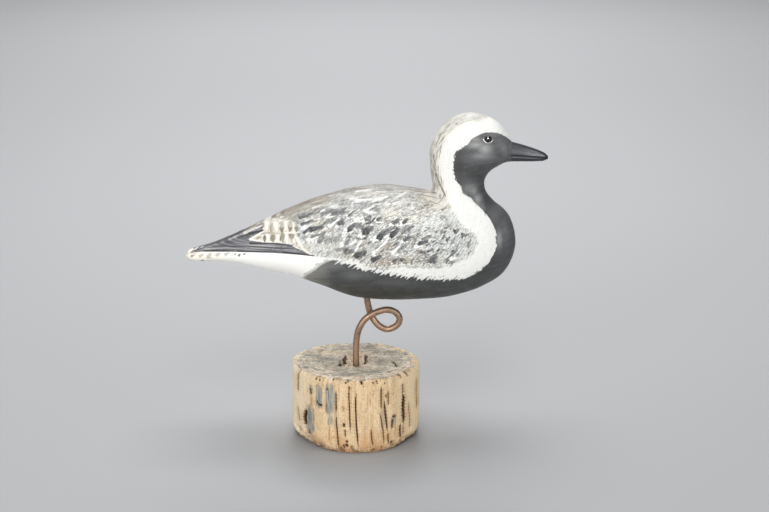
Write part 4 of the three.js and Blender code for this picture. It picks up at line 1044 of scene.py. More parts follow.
# %% Cutting along a line
def on_trunk(place):
    """Arc and height in millimetres where the line of sight meets the side of the block."""
    line, start = sight(place), camera_place / MM
    flat = line[:2] @ line[:2]
    toward = start[:2] @ line[:2]
    trunk_size = TRUNK_RADIUS - 0.8
    gap = toward ** 2 - flat * (start[:2] @ start[:2] - trunk_size ** 2)
    met = start + line * (-toward - max(gap, 0) ** 0.5) / flat
    return np.array([np.arctan2(met[1], met[0]) * TRUNK_RADIUS, met[2]])


def on_flat_top(place):
    """X and Y in millimetres where the line of sight meets the top of the block."""
    line, start = sight(place), camera_place / MM
    return (start + line * (BLOCK_HEIGHT - 0.5 - start[2]) / line[2])[:2]


def cut(depth, u, v, line, wide, deep, seed):
    """Cuts a V along a line of points into a map of depths, thin at both ends."""
    line = np.array(line)
    lengths = np.linalg.norm(np.diff(line, axis=0), axis=1)
    whole, gone = lengths.sum(), 0
    reach = wide + 1
    box_low, box_high = line.min(axis=0) - reach, line.max(axis=0) + reach
    here = (u > box_low[0]) & (u < box_high[0]) & (v > box_low[1]) & (v < box_high[1])
    near_u, near_v = u[here], v[here]
    for start, end, length in zip(line, line[1:], lengths):
        side = (end - start) / max(length, 1e-9)
        along = np.clip((near_u - start[0]) * side[0] + (near_v - start[1]) * side[1], 0, length)
        aside = np.hypot(near_u - start[0] - along * side[0], near_v - start[1] - along * side[1])
        share = (gone + along) / max(whole, 1e-9)
        swell = np.clip(4 * np.minimum(share, 1 - share) + 0.25, 0, 1)
        ragged = 1 + 0.3 * np.sin(near_v * 2.3 + seed) + 0.3 * np.sin(near_v * 5.1 + 2 * seed + near_u)
        found = deep * swell * np.clip(1 - aside / (wide / 2 * swell * ragged), 0, 1) ** 0.6
        depth[here] = np.maximum(depth[here], found)
        gone += length


def pit(depth, u, v, middle, wide, deep, fullness):
    """The deeper of a map of depths and a round pit."""
    away = np.hypot(u - middle[0], v - middle[1]) / (wide / 2)
    return np.maximum(depth, deep * np.clip(fullness - away ** 2, 0, 1))


# %% Splits and pits of the sides, cut
split_depth, top_depth, stain = np.zeros(radius.shape), np.zeros(radius.shape), np.zeros(radius.shape)
for seed, (wide, deep, *places) in enumerate(FRONT_SPLITS):
    line = [on_trunk(place) for place in places]
    toward_camera = max(-np.sin(line[0][0] / TRUNK_RADIUS), 0.35)
    cut(split_depth, arc, height, line, wide / toward_camera, deep, seed)
    cut(stain, arc, height, line, (2.4 * wide + 2) / toward_camera, 1, seed)
for seed, (angle_low, angle_high, low, high, wide, deep) in enumerate(BACK_SPLITS):
    line = [(radians(angle_low) * TRUNK_RADIUS, low), (radians(angle_high) * TRUNK_RADIUS, high)]
    cut(split_depth, arc, height, line, wide + 1.1, deep, seed)
    cut(stain, arc, height, line, 2.4 * wide + 2, 1, seed)
for place_x, place_y, wide, deep in RIM_PITS:
    split_depth = pit(split_depth, arc, height, on_trunk((place_x, place_y)), wide, deep, 1.2)

# Fine checks in the wood that are too small to be read off are scattered by a fixed seed.
FINE_CHECKS = 150
scatter = np.random.default_rng(11)
for seed in range(FINE_CHECKS):
    low = scatter.uniform(-2, 52)
    where, long = scatter.uniform(-np.pi, np.pi) * TRUNK_RADIUS, scatter.uniform(3, 16)
    line = [(where, low), (where + scatter.uniform(-0.5, 0.5), low + long)]
    coarser = 1 if where < 0 else 2.6
    cut(split_depth, arc, height, line, scatter.uniform(0.35, 0.7) * coarser, scatter.uniform(0.3, 1.1), seed)
split_depth *= on_side
print("deepest split in millimetres:", split_depth.max().round(1))

# %% Cracks and stains of the top, cut
for seed, (wide, deep, *places) in enumerate(TOP_CRACKS):
    cut(top_depth, x, y, [on_flat_top(place) for place in places], wide, deep, seed)
for place_x, place_y, wide, deep in HEART_PITS:
    top_depth = pit(top_depth, x, y, on_flat_top((place_x, place_y)), wide, deep, 1.25)


def laid_on_top(place_x, place_y, wide, tall, strength):
    """A patch of the picture as it lies on the top, in millimetres."""
    middle = on_flat_top((place_x, place_y))
    beside, below = on_flat_top((place_x + wide, place_y)), on_flat_top((place_x, place_y + tall))
    return *middle, beside[0] - middle[0], below[1] - middle[1], strength


dark_on_top = ovals(x, y, [laid_on_top(*patch) for patch in DARK_ON_TOP])
tan_on_top = ovals(x, y, [laid_on_top(*patch) for patch in TAN_ON_TOP])
print("deepest hole in the top in millimetres:", top_depth.max().round(1))

# %% [markdown]
# Weathering takes the soft early wood away first, so the hard late wood stands up as fine ribs down the
# sides and as rings on the end grain. Where a flake has been lost, the grey older wood lies deeper. Noise
# stretched along the grain gives both, and it is moved into the mesh, not only into the shading.

# %% Weathering of the sides
# Angle in degrees, half width in degrees, height and depth in millimetres: a large piece has broken off
# the foot at the left of the photo, and a smaller one at the right.
BROKEN_OFF = [(-145, 20, 11, 7), (-32, 16, 9, 3)]
RIB_HEIGHT, GRIT_HEIGHT, LUMP_HEIGHT = 0.16, 0.1, 0.35


def wood_noise(u, v, seed, octaves=3):
    """Fractal noise over two arrays of the same shape, about -1 to 1."""
    flat = [noise.fractal(Vector((a, b, seed)), 0.9, 2.1, octaves) for a, b in zip(u.ravel(), v.ravel())]
    return np.array(flat).reshape(u.shape)


scar_mask, scar_depth = np.zeros(radius.shape), np.zeros(radius.shape)
ragged = wood_noise(arc / 2.2, height / 5, 4.4, 2)
scars = []
for place_x, place_y, wide, tall, deep, grey in FRONT_SCARS:
    left, right = on_trunk((place_x - wide / 2, place_y)), on_trunk((place_x + wide / 2, place_y))
    low, high = on_trunk((place_x, place_y + tall / 2)), on_trunk((place_x, place_y - tall / 2))
    scars.append(((left + right) / 2, right[0] - left[0], high[1] - low[1], deep, grey))
for scar_angle, scar_height, *rest in BACK_SCARS:
    scars.append((np.array([radians(scar_angle) * TRUNK_RADIUS, scar_height]), *rest))
for middle, wide, tall, deep, grey in scars:
    across, up = (arc - middle[0]) / (wide / 2), (height - middle[1]) / (tall / 2)
    bitten = 1.1 - np.hypot(np.abs(across) ** 1.6, np.abs(up) ** 1.6) + 0.45 * ragged
    scar_mask = np.maximum(scar_mask, grey * np.clip(bitten * 1.8, 0, 1))
    scar_depth = np.maximum(scar_depth, deep * np.clip(bitten * 3, 0, 1))

from_rim = np.where(height > BLOCK_HEIGHT / 2, trunk - radius, 0)
ribs = wood_noise(arc / 1.0, height / 22, 3.1) + 0.5 * wood_noise(arc / 3.6, height / 50, 9.2)
grit = wood_noise(arc / 1.1, height / 1.4, 8.8, 2)
lumps = wood_noise(arc / 9, height / 12, 6.3, 2)
edge_noise = wood_noise(arc / 4.5, height / 5, 2.2) + 0.4 * wood_noise(arc / 1.7, height / 2, 4.4)
near_foot, near_rim = np.clip(1.1 - height / 7, 0, 1), np.clip(1 - (BLOCK_HEIGHT - height) / 5, 0, 1)
worn_edge = np.clip(edge_noise + 0.1, 0, 1) * (2.6 * near_foot + 1.3 * near_rim)
broken_off = sum(
    deep * np.exp(-(((np.degrees(around) - middle) / wide) ** 2)) * np.clip(1 - height / tall, 0, 1)
    for middle, wide, tall, deep in BROKEN_OFF
)
broken_off = broken_off * (1 + 0.8 * wood_noise(arc / 2, height / 2.5, 7.7, 2))
less_at_foot = np.clip(height / 1.2, 0.25, 1)
weathering = RIB_HEIGHT * ribs + GRIT_HEIGHT * grit + LUMP_HEIGHT * lumps
taken_off = (weathering - split_depth - scar_depth - worn_edge) * less_at_foot - broken_off
radius = radius + np.where(on_side, taken_off, 0)
radius[:UNDERSIDE_ROWS] *= radius[UNDERSIDE_ROWS] / (trunk - foot)
print("scars:", len(scars), "ribs from", ribs.min().round(2), "to", ribs.max().round(2))

# %% Weathering of the top and block mesh
# Middle and reach of each hollow that the rot has left in the top.
HEART_ROT = [
    ((-0.5, 7, BLOCK_HEIGHT + 2), (12.5, 17, 7.5)),
    ((-10.2, 2, BLOCK_HEIGHT - 5), (3.4, 8, 9)),
    ((9.6, 10, BLOCK_HEIGHT - 4), (2.6, 5.5, 8)),
]
RING_SPACING, RING_HEIGHT, SWELL_HEIGHT = 2.1, 0.12, 0.4

x, y = radius * np.cos(around), radius * np.sin(around)
ring_wander = wood_noise(x / 14, y / 14, 1.7)
growth_rings = np.sin(2 * np.pi * (radius / RING_SPACING + 0.9 * ring_wander))
pitted = np.clip(wood_noise(x / 2.4, y / 1.8, 5.5) - 0.22, 0, 1) * 2.2
rot_depth = np.zeros(radius.shape)
for (hollow_x, hollow_y, hollow_z), (reach_x, reach_y, reach_z) in HEART_ROT:
    spread = 1 - ((x - hollow_x) / reach_x) ** 2 - ((y - hollow_y) / reach_y) ** 2
    bottom = hollow_z - reach_z * np.sqrt(np.clip(spread, 0, None))
    rot_depth = np.maximum(rot_depth, np.where(spread > 0, np.clip(BLOCK_HEIGHT - bottom, 0, 14), 0))
near_top = np.where(part == "rim", 0.5, 0.0) + on_top
top_relief = RING_HEIGHT * growth_rings + SWELL_HEIGHT * ring_wander - pitted - rot_depth - top_depth
height = height + top_relief * near_top
block = piece_from_rings("weathered_block", np.stack([x, y, height], axis=-1) * MM)

# %% Values for the wood's colours
for_wood = {
    "split": split_depth,
    "scar": scar_mask * on_side,
    "from_rim": from_rim,
    "stain": stain,
    "worn_edge": worn_edge,
    "dark_on_top": dark_on_top * near_top,
    "tan_on_top": tan_on_top * near_top,
    "rot": rot_depth * on_top,
    "hole": (top_depth + 0.6 * pitted) * near_top,
    "ribs": ribs,
    "arc": arc / BLOCK_DIAMETER,
}
for name, values in for_wood.items():
    values = np.broadcast_to(values, radius.shape)
    store(block, name, np.append(values.ravel(), [values[0].mean(), values[-1].mean()]))

# The painted shadow in the hollows of the heart is laid out in the picture, down their walls too.
in_picture = seen(read(block.data.vertices, "co")).T
store(block, "heart_shadow", ovals(*in_picture, HEART_SHADOWS, lambda away: 1.3 - away))
print("values kept for the wood:", [*for_wood, "heart_shadow"])

# %% [markdown]
# Materials are built from nodes. A small helper lays the nodes, so that each material below reads as the
# list of paints and marks that make it. Colours are given as they look on a screen, 0 to 255, and each
# coat's name becomes the label of its node, to be found again in the node editor.

# %% Node helper
def colour(red, green, blue):
    """A colour as it looks on screen, turned into the light values that shaders use."""
    def light(value):
        value /= 255
        return value / 12.92 if value <= 0.04045 else ((value + 0.055) / 1.055) ** 2.4
    return (light(red), light(green), light(blue), 1)


class Nodes:
    """Lays nodes in one tree. Any input may be a plain value or another node's output."""

    def __init__(self, tree):
        self.tree = tree

    def put(self, socket, value):
        if isinstance(value, bpy.types.NodeSocket):
            self.tree.links.new(value, socket)
        elif value is not None:
            socket.default_value = colour(*value) if socket.type == "RGBA" else value

    def add(self, kind, inputs=(), output=0, **settings):
        node = self.tree.nodes.new("ShaderNode" + kind)
        for key, value in settings.items():
            setattr(node, key, value)
        for key, value in dict(inputs).items():
            self.put(node.inputs[key], value)
        return node.outputs[output]

    def group(self, name, **inputs):
        return self.add("Group", inputs, node_tree=bpy.data.node_groups[name])

    def math(self, operation, *values):
        return self.add("Math", enumerate(values), operation=operation)

    def times(self, first, second):
        return self.math("MULTIPLY", first, second)

    def mix(self, share, first, second):
        """A colour part of the way from first to second."""
        return self.add("Mix", {0: share, 6: first, 7: second}, 2, data_type="RGBA")

    def between(self, share, first, second):
        """A number part of the way from first to second."""
        return self.add("Mix", {0: share, 2: first, 3: second})

    def lay(self, under, over, share, strength=None):
        """One coat of paint over another."""
        return self.mix(share if strength is None else self.times(share, strength), under, over)

    def coats(self, under, coats):
        """Coats of paint one over another: name: (colour, where it lies, how strong it is there)."""
        for name, coat in coats.items():
            under = self.lay(under, *coat)
            under.node.label = name
        return under

    def ramp(self, value, low, high, to_low=0.0, to_high=1.0):
        """value from low to high, spread smoothly to to_low to to_high."""
        inputs = {0: value, 1: low, 2: high, 3: to_low, 4: to_high}
        return self.add("MapRange", inputs, interpolation_type="SMOOTHSTEP")

    def vector(self, x=0.0, y=0.0, z=0.0):
        return self.add("CombineXYZ", {0: x, 1: y, 2: z})

    def parts(self, vector):
        return tuple(self.add("SeparateXYZ", {0: vector}).node.outputs)

    def noise(self, vector, scale=1.0, detail=2.0, rough=0.5, twist=0.0):
        inputs = {"Vector": vector, "Scale": scale, "Detail": detail, "Roughness": rough, "Distortion": twist}
        return self.add("TexNoise", inputs)

    def bump(self, height, strength, distance):
        return self.add("Bump", {"Strength": strength, "Distance": distance, "Height": height})

    def place_mm(self):
        """Where on the object a point lies, in millimetres."""
        return self.add("VectorMath", {0: self.add("TexCoord", output=3), 3: 1 / MM}, operation="SCALE")

    def count(self):
        print("nodes:", len(self.tree.nodes))

    def stored(self, name):
        return self.add("Attribute", output=2, attribute_name=name)

    def stored_mm(self, name):
        return self.times(self.stored(name), 1 / MM)


# %% Groups, materials and pieces
SOCKETS = {"value": "NodeSocketFloat", "vector": "NodeSocketVector", "colour": "NodeSocketColor"}


def new_group(name, inputs, outputs):
    """An empty node group. An input is given as a kind of socket, or as the number it starts from."""
    tree = bpy.data.node_groups.new(name, "ShaderNodeTree")
    for key, kind in inputs.items():
        socket_type = SOCKETS.get(kind, "NodeSocketFloat")
        socket = tree.interface.new_socket(key, in_out="INPUT", socket_type=socket_type)
        if kind not in SOCKETS:
            socket.default_value = kind
    for key, kind in outputs.items():
        tree.interface.new_socket(key, in_out="OUTPUT", socket_type=SOCKETS[kind])
    return Nodes(tree), tree.nodes.new("NodeGroupInput").outputs, tree.nodes.new("NodeGroupOutput").inputs


def new_material(name):
    material = bpy.data.materials.new(name)
    material.use_nodes = True
    material.node_tree.nodes.clear()
    return material, Nodes(material.node_tree)


def finish_material(nodes, base, roughness, normal=None, **plain):
    """The shader itself stays in the material, with its plain values on its own sockets."""
    inputs = {"Base Color": base, "Roughness": roughness, "Normal": normal}
    inputs.update({key.replace("_", " "): value for key, value in plain.items()})
    shader = nodes.add("BsdfPrincipled", inputs)
    nodes.put(nodes.tree.nodes.new("ShaderNodeOutputMaterial").inputs[0], shader)
    nodes.count()


def dress(piece, node, material):
    """Puts a piece in the place of its solid, on the body that carries it, in its material."""
    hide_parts(node)
    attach(piece, "root")
    piece.data.materials.append(material)
    print(piece.name, len(piece.data.polygons), "faces")


# %% [markdown]
# Some effects come back in more than one finish or many times in one, so each is a node group: long
# streaks, as a dry brush or wood grain leaves them; a colour that is not quite even; an edge torn into
# points by the hairs of the brush; and a stored brush mark with its edge broken up.

# %% Streaks and uneven colour
N, given, out = new_group(
    "Streaks", {"Vector": "vector", "Length": 10, "Width": 1, "Seed": 0}, {"Value": "value"}
)
u, v, _ = N.parts(given["Vector"])
stretched = N.vector(N.math("DIVIDE", u, given["Length"]), N.math("DIVIDE", v, given["Width"]), given["Seed"])
N.put(out["Value"], N.noise(stretched, 1, 2, 0.55, 0.15))

N, given, out = new_group(
    "Uneven colour", {"Vector": "vector", "Colour": "colour", "Size": 10, "Amount": 0.1}, {"Colour": "colour"}
)
scaled = N.add("VectorMath", {0: given["Vector"], 3: N.math("DIVIDE", 1, given["Size"])}, operation="SCALE")
lift = N.times(N.math("SUBTRACT", N.noise(scaled, 1, 4, 0.6), 0.5), N.times(given["Amount"], 4))
varied = N.add("HueSaturation", {"Value": N.math("ADD", 1, lift), "Color": given["Colour"]})
N.put(out["Colour"], varied)
print("groups:", [group.name for group in bpy.data.node_groups])

# %% Torn edge and brush mark
N, given, out = new_group(
    "Torn edge", {"Distance": 0, "Noise": 0.5, "Reach": 1, "Softness": 0.3}, {"Mask": "value"}
)
moved = N.times(N.math("SUBTRACT", given["Noise"], 0.5), N.times(given["Reach"], 4))
shifted = N.math("ADD", given["Distance"], moved)
N.put(out["Mask"], N.ramp(shifted, N.times(given["Softness"], -1), given["Softness"]))

N, given, out = new_group(
    "Brush mark", {"Inside": 0, "Strength": 1, "Noise": 0.5, "Rough": 0.8}, {"Mask": "value"}
)
moved = N.times(N.math("SUBTRACT", given["Noise"], 0.5), given["Rough"])
deep = N.math("ADD", given["Inside"], moved)
mask = N.times(N.ramp(deep, -0.02, 0.16), given["Strength"])
N.put(out["Mask"], N.times(mask, N.ramp(given["Inside"], -0.9, -0.6)))
print("groups:", [group.name for group in bpy.data.node_groups])

# %% [markdown]
# The plumage is one skin of paint, brushed on by hand and worn to a soft sheen, so it is one material.
# A painted image would do, but nodes keep the strokes sharp at any distance. Each area is let in by the
# distance that the mesh stores, torn up by brush noise, so its edge shows single hairs of the brush.

# %% Brush strokes
WHITE = (242, 242, 238)
SLATE = (50, 51, 54)
SOOT = (46, 48, 43)
OLIVE = (138, 137, 128)

plumage, P = new_material("plumage_paint")
place_mm = P.place_mm()
px, _, pz = P.parts(place_mm)
down_mm, lift_mm = P.stored_mm("from_back"), P.times(pz, -1)


def slanted(degrees, fall):
    """Millimetres along and across brush strokes that rise towards the head, on a given fall line."""
    c, s = cos(radians(degrees)), sin(radians(degrees))
    along = P.math("SUBTRACT", P.times(px, c), P.times(fall, s))
    return P.vector(along, P.math("ADD", P.times(px, s), P.times(fall, c)), 0)


def streak(vector, length, width, seed):
    return P.group("Streaks", Vector=vector, Length=length, Width=width, Seed=seed)


def area(name, noise_value, reach, softness):
    distance = P.stored_mm(name)
    return P.group("Torn edge", Distance=distance, Noise=noise_value, Reach=reach, Softness=softness)


def marks(name, noise_value, rough):
    strength = P.stored(name + "_strength")
    return P.group("Brush mark", Inside=P.stored(name), Strength=strength, Noise=noise_value, Rough=rough)


flank_way, top_way, steep_way = slanted(36, down_mm), slanted(10, down_mm), slanted(52, lift_mm)
hairs = streak(flank_way, 3.6, 0.85, 4)
hairs_too = streak(flank_way, 4.2, 0.95, 5)
grain = P.noise(place_mm, 0.95, 3, 0.65)
ragged = P.between(0.5, hairs, grain)
ragged_too = P.between(0.5, hairs_too, P.noise(place_mm, 1.1, 3, 0.65))
waves = streak(slanted(0, lift_mm), 30, 1, 13)
P.count()

# %% [markdown]
# The back has a grey ground, with tan, cream and pale patches worked into it and hairs of white and slate
# dragged through. The flank's strokes rise towards the head. On top of the back they are longer and lie
# nearly level, so that part has its own coats and fades into the flank.

# %% Mottled back
ground = P.mix(P.ramp(streak(flank_way, 7, 4, 1), 0.4, 0.6), (150, 151, 144), (196, 197, 193))
ground = P.coats(ground, {
    "cool grey": ((124, 127, 132), P.stored("grey"), 0.85),
    "tan": ((154, 134, 106), P.stored("tan"), 0.9),
    "cream": ((222, 214, 196), P.stored("cream"), 0.85),
    "pale grey": ((214, 216, 214), P.stored("pale"), 0.85),
    "dry white strokes": (WHITE, P.ramp(streak(flank_way, 3.8, 1.5, 2), 0.55, 0.61), 0.6),
    "dry dark strokes": ((120, 116, 106), P.ramp(streak(flank_way, 3.4, 1.2, 3), 0.54, 0.6), 0.6),
})
upper = P.mix(P.ramp(streak(top_way, 16, 3.4, 9), 0.38, 0.62), (128, 128, 120), (168, 168, 162))
upper = P.coats(upper, {
    "cool grey": ((134, 137, 142), P.stored("grey"), 0.85),
    "tan": ((154, 143, 122), P.stored("tan"), 0.85),
    "cream": ((206, 198, 184), P.stored("cream"), 0.8),
    "pale grey": ((208, 209, 206), P.stored("pale"), 0.85),
    "pale lines": ((206, 207, 203), P.ramp(streak(top_way, 9, 1.5, 10), 0.53, 0.62), 0.55),
    "dark lines": ((122, 118, 108), P.ramp(streak(top_way, 10, 1.8, 11), 0.52, 0.62), 0.6),
    "brown on the back line": ((112, 94, 78), P.ramp(down_mm, 10, 3), 0.42),
})
hair_strength = P.ramp(down_mm, 8, 30, 0.3, 1)
slate_strength = P.times(hair_strength, P.ramp(P.stored("pale"), 0, 1, 0.62, 0.3))
white_strength = P.times(hair_strength, P.ramp(P.stored("grey"), 0.2, 0.9, 0.85, 0.4))
tip_white = P.mix(P.ramp(ragged, 0.5, 0.6), WHITE, (190, 192, 192))
dab_slate = P.mix(P.ramp(ragged_too, 0.5, 0.58), (34, 35, 38), (96, 98, 100))
mottled = P.coats(P.mix(P.ramp(down_mm, 33, 20), ground, upper), {
    "white hairs": (WHITE, P.ramp(ragged_too, 0.53, 0.565), white_strength),
    "slate hairs": (SLATE, P.ramp(ragged, 0.53, 0.565), slate_strength),
    "feather tips": (tip_white, marks("white_mark", ragged_too, 3.4)),
    "dark dabs": (dab_slate, marks("dark_mark", ragged, 3)),
})
P.count()

# %% [markdown]
# The nape and crown are cream with broken brown scratches that run down the neck. The inner feathers of
# the wing are cream with brown bars, and its tips are dark grey with pale lines. The underside is white,
# a little warmer at the tail.

# %% Nape, wing and underside
nape_lines = P.noise(P.vector(P.times(down_mm, 0.8), P.times(pz, 0.09), 3), 1, 3, 0.65, 0.2)
nape_white = P.noise(P.vector(down_mm, P.times(pz, 0.16), 8), 1, 2)
crown_lines = streak(P.vector(px, down_mm, 0), 5, 1.2, 16)
nape = P.coats(P.mix(P.ramp(nape_lines, 0.4, 0.5), (222, 218, 210), (196, 190, 178)), {
    "brown scratches": ((132, 126, 114), P.ramp(nape_lines, 0.53, 0.59), 0.8),
    "white scratches": ((226, 227, 222), P.ramp(nape_white, 0.5, 0.56), P.ramp(pz, 190, 250, 0.5, 0.9)),
    "grey crown": ((190, 190, 183), P.ramp(pz, 252, 262), 0.7),
    "crown lines": ((160, 159, 150), P.ramp(crown_lines, 0.53, 0.6), P.ramp(pz, 252, 262, 0, 0.7)),
})
tertial = P.mix(P.ramp(streak(flank_way, 8, 1.4, 12), 0.45, 0.6), (205, 197, 182), (230, 227, 217))
tertial = P.lay(tertial, (158, 146, 128), P.ramp(ragged, 0.53, 0.58), 0.6)
wing_root = P.times(P.ramp(px, -92, -82), P.ramp(down_mm, 9, 5))
primary = P.coats(P.mix(P.ramp(waves, 0.38, 0.62), (92, 91, 96), (142, 141, 144)), {
    "dark back line": ((84, 84, 82), P.ramp(down_mm, 3, 2), 0.9),
    "pale root": ((172, 166, 150), wing_root, 0.65),
})
under = P.coats(P.group("Uneven colour", Vector=place_mm, Colour=(236, 236, 231), Size=18, Amount=0.03), {
    "grey strokes on the breast": ((190, 190, 186), P.ramp(ragged, 0.5, 0.57), P.ramp(px, -40, 0, 0, 0.3)),
    "whiter behind": ((252, 251, 246), P.ramp(px, -10, -40)),
    "cream tail": ((234, 228, 210), P.ramp(px, -90, -128), 0.8),
})
P.count()

# %% Areas and marks laid together
dry_brush = P.ramp(streak(slanted(0, down_mm), 22, 1.3, 17), 0.42, 0.52)
dry_brush = P.between(P.ramp(down_mm, 11, 5), 1.0, dry_brush)
on_back_line = P.times(P.ramp(down_mm, 14, 7), P.ramp(px, -70, -50))
line_colour = P.mix(on_back_line, SLATE, (68, 64, 58))
bar_colour = P.mix(P.ramp(grain, 0.4, 0.62), (98, 90, 78), (148, 134, 116))
paint = P.coats(under, {
    "mantle": (mottled, area("mantle", hairs_too, 2.2, 0.7)),
    "white hairs into the mantle": (under, marks("band_hair", ragged_too, 1.6)),
    "mantle hairs into the white": (mottled, marks("low_hair", ragged, 1.4)),
    "cream beside the nape": ((240, 233, 216), P.ramp(P.stored("nape"), -0.006, 0.001), 0.45),
    "nape": (nape, area("nape", nape_lines, 2.2, 1.6)),
    "wing tip": (primary, area("wing_tip", hairs_too, 0.15, 0.25)),
    "inner wing feathers": (tertial, area("tertial", hairs_too, 1.6, 0.8)),
    "pale edges and painted highlights": ((234, 231, 223), marks("pale_edge_and_highlight_mark", hairs_too, 1.6), dry_brush),
    "brown bars": (bar_colour, marks("brown_mark", hairs, 2)),
    "thin lines": (line_colour, marks("thin_mark", waves, 0.5), dry_brush),
})
P.count()

# %% [markdown]
# The black is not even: it is charcoal with brushed lights in it, painted sheen on the face, neck and
# breast, painted shade low on the belly, and olive at its tail end, where it was thinned over the white.
# Its edge has the longest teeth low down on the belly.
# Round the lower half of each eye runs a thin white ring.

# %% Black areas, eye ring and finish
RING_LONG, RING_HIGH = 4.8, 4.1
low_down, tail_end = P.ramp(pz, 175, 150), P.ramp(px, -14, -40)
level_hairs, steep_hairs = streak(slanted(-6, lift_mm), 4, 0.9, 15), streak(steep_way, 4.5, 0.62, 6)
edge_hairs = P.between(low_down, level_hairs, steep_hairs)
tooth_reach = P.math("ADD", 0.5, low_down)
blackness = area("black", edge_hairs, tooth_reach, P.math("ADD", 0.2, P.times(tail_end, 0.9)))
brushed = streak(slanted(8, lift_mm), 11, 2.4, 14)
black = P.coats(P.group("Uneven colour", Vector=place_mm, Colour=(72, 73, 75), Size=9, Amount=0.16), {
    "brushed lights": ((98, 98, 97), P.ramp(brushed, 0.45, 0.65), 0.45),
    "brushed darks": ((52, 53, 53), P.ramp(brushed, 0.42, 0.3), 0.6),
    "grey hairs": ((112, 113, 114), P.ramp(ragged, 0.52, 0.58), 0.22),
    "pale grit": ((128, 129, 130), P.ramp(grain, 0.64, 0.72), 0.4),
    # Deep black: darker paint at the rear of the face and painted shade low on the belly.
    "deep black and painted shade": (SOOT, P.stored("deep"), 0.85),
    # Painted shade: the black darkens toward the bottom of the belly.
    "painted shade low on the belly": (SOOT, P.ramp(pz, 172, 150), 0.35),
    # Painted sheen on the black's satin paint.
    "painted sheen on the black": ((164, 164, 164), P.stored("painted_sheen"), P.ramp(grain, 0.35, 0.65, 0.75, 0.95)),
    "olive tail end": (OLIVE, P.times(tail_end, P.ramp(brushed, 0.3, 0.6, 0.5, 1))),
})
beside_eye, below_eye = P.stored("beside_eye"), P.stored("below_eye")
ring_x, ring_y = P.math("DIVIDE", beside_eye, RING_LONG), P.math("DIVIDE", below_eye, RING_HIGH)
ring_at = P.math("SQRT", P.math("ADD", P.math("POWER", ring_x, 2), P.math("POWER", ring_y, 2)))
ring = P.ramp(P.math("ABSOLUTE", P.math("SUBTRACT", ring_at, 1)), 0.15, 0.05)
lower_ring = P.times(P.ramp(below_eye, -0.6, 0.8), P.ramp(beside_eye, 5.2, 3))
paint = P.coats(paint, {
    "olive hairs": (OLIVE, marks("grey_hair", ragged, 1.4)),
    "black": (black, blackness),
    "black hairs": (black, marks("dark_hair", grain, 0.5)),
    "corner of the mouth": ((62, 64, 67), marks("mouth_corner", grain, 0.5)),
    "white hairs": (under, marks("white_hair", grain, 0.5)),
    "eye ring": (WHITE, P.times(ring, lower_ring), 0.9),
})
brush_height = P.math("ADD", P.times(hairs, 0.6), P.noise(place_mm, 1.1, 3, 0.6))
sheen = P.ramp(P.noise(place_mm, 0.12, 3), 0.35, 0.65, 0.45, 0.6)
finish_material(P, paint, sheen, P.bump(brush_height, 0.3, 0.3 * MM))
dress(bird, "bird_body", plumage)

# %% [markdown]
# The bill has a smoother, glossier coat of dark grey paint, with a painted highlight on its upper half
# near the tip. Its two halves meet in the groove, and below that runs a thin line of painted highlight.

# %% Bill paint
bill_paint, B = new_material("bill_paint")
place_mm = B.place_mm()
bx, by, bz = B.parts(place_mm)
lines = B.noise(B.vector(B.math("DIVIDE", bx, 9), B.math("DIVIDE", bz, 0.8), by), 1, 3, 0.6)
# A painted highlight on the upper half of the bill towards the tip.
upper_bill_highlight = B.times(B.ramp(bx, 128, 141), B.ramp(bz, 229.5, 232))
mouth_mm = B.stored_mm("from_mouth")
# A thin painted highlight just below the groove.
from_highlight_line = B.math("ABSOLUTE", B.math("ADD", mouth_mm, 1.25))
from_groove = B.math("ABSOLUTE", B.math("SUBTRACT", mouth_mm, 0.1))
shade = B.group("Uneven colour", Vector=place_mm, Colour=(72, 74, 78), Size=5, Amount=0.14)
shade = B.coats(shade, {
    "painted highlight on the upper bill": ((128, 130, 134), B.times(upper_bill_highlight, B.ramp(lines, 0.35, 0.65, 0.1, 0.8))),
    "darker lower half": ((46, 48, 52), B.ramp(mouth_mm, 0, -0.6, 0, 0.7)),
    "painted highlight below the groove": ((114, 116, 120), B.ramp(from_highlight_line, 0.45, 0.15, 0, 0.7)),
    "groove": ((20, 21, 23), B.ramp(from_groove, 1, 0.5, 0, 0.95)),
    "dark ridge": ((26, 28, 32), B.ramp(B.stored("from_ridge"), 0.002, 0.0008, 0, 0.9)),
    "dark keel": ((26, 28, 32), B.ramp(B.stored("from_keel"), 0.003, 0.0018, 0, 0.9)),
    "dark tip": ((30, 31, 34), B.ramp(bx, 148, 151.5, 0, 0.8)),
})
finish_material(B, shade, B.ramp(lines, 0.3, 0.7, 0.32, 0.45), B.bump(lines, 0.25, 0.2 * MM))
dress(bill, "bill", bill_paint)

# %% [markdown]
# The eyes are black glass with a faint brown iris. Glass this dark lets nothing through, so a smooth
# shader with the refractive index of glass does, and its highlight comes from a lamp.

# %% Eye glass
GLASS_IOR = 1.52
glass, G = new_material("eye_glass")
gx, _, gz = G.parts(G.place_mm())
eye_middle = (float(EYE_AT[0] / MM), 0, float(EYE_AT[1] / MM))
off_axis = G.add("VectorMath", {0: G.vector(gx, 0, gz), 1: eye_middle}, output=1, operation="DISTANCE")
iris = G.mix(G.ramp(off_axis, 1.6, 1.9), (4, 4, 4), (13, 10, 9))
iris = G.lay(iris, (8, 7, 7), G.ramp(off_axis, 2.2, 2.6))
finish_material(G, iris, 0.05, IOR=GLASS_IOR)
for side, eye in eyes.items():
    dress(eye, "glass_eye_" + side, glass)

# %% [markdown]
# The wire is copper-coloured, dull where it has aged, brighter where it is scratched, with darker spots of
# tarnish. Clean metal would be fully metallic. The film on this one scatters light as paint does, so
# the metal is let down a little.

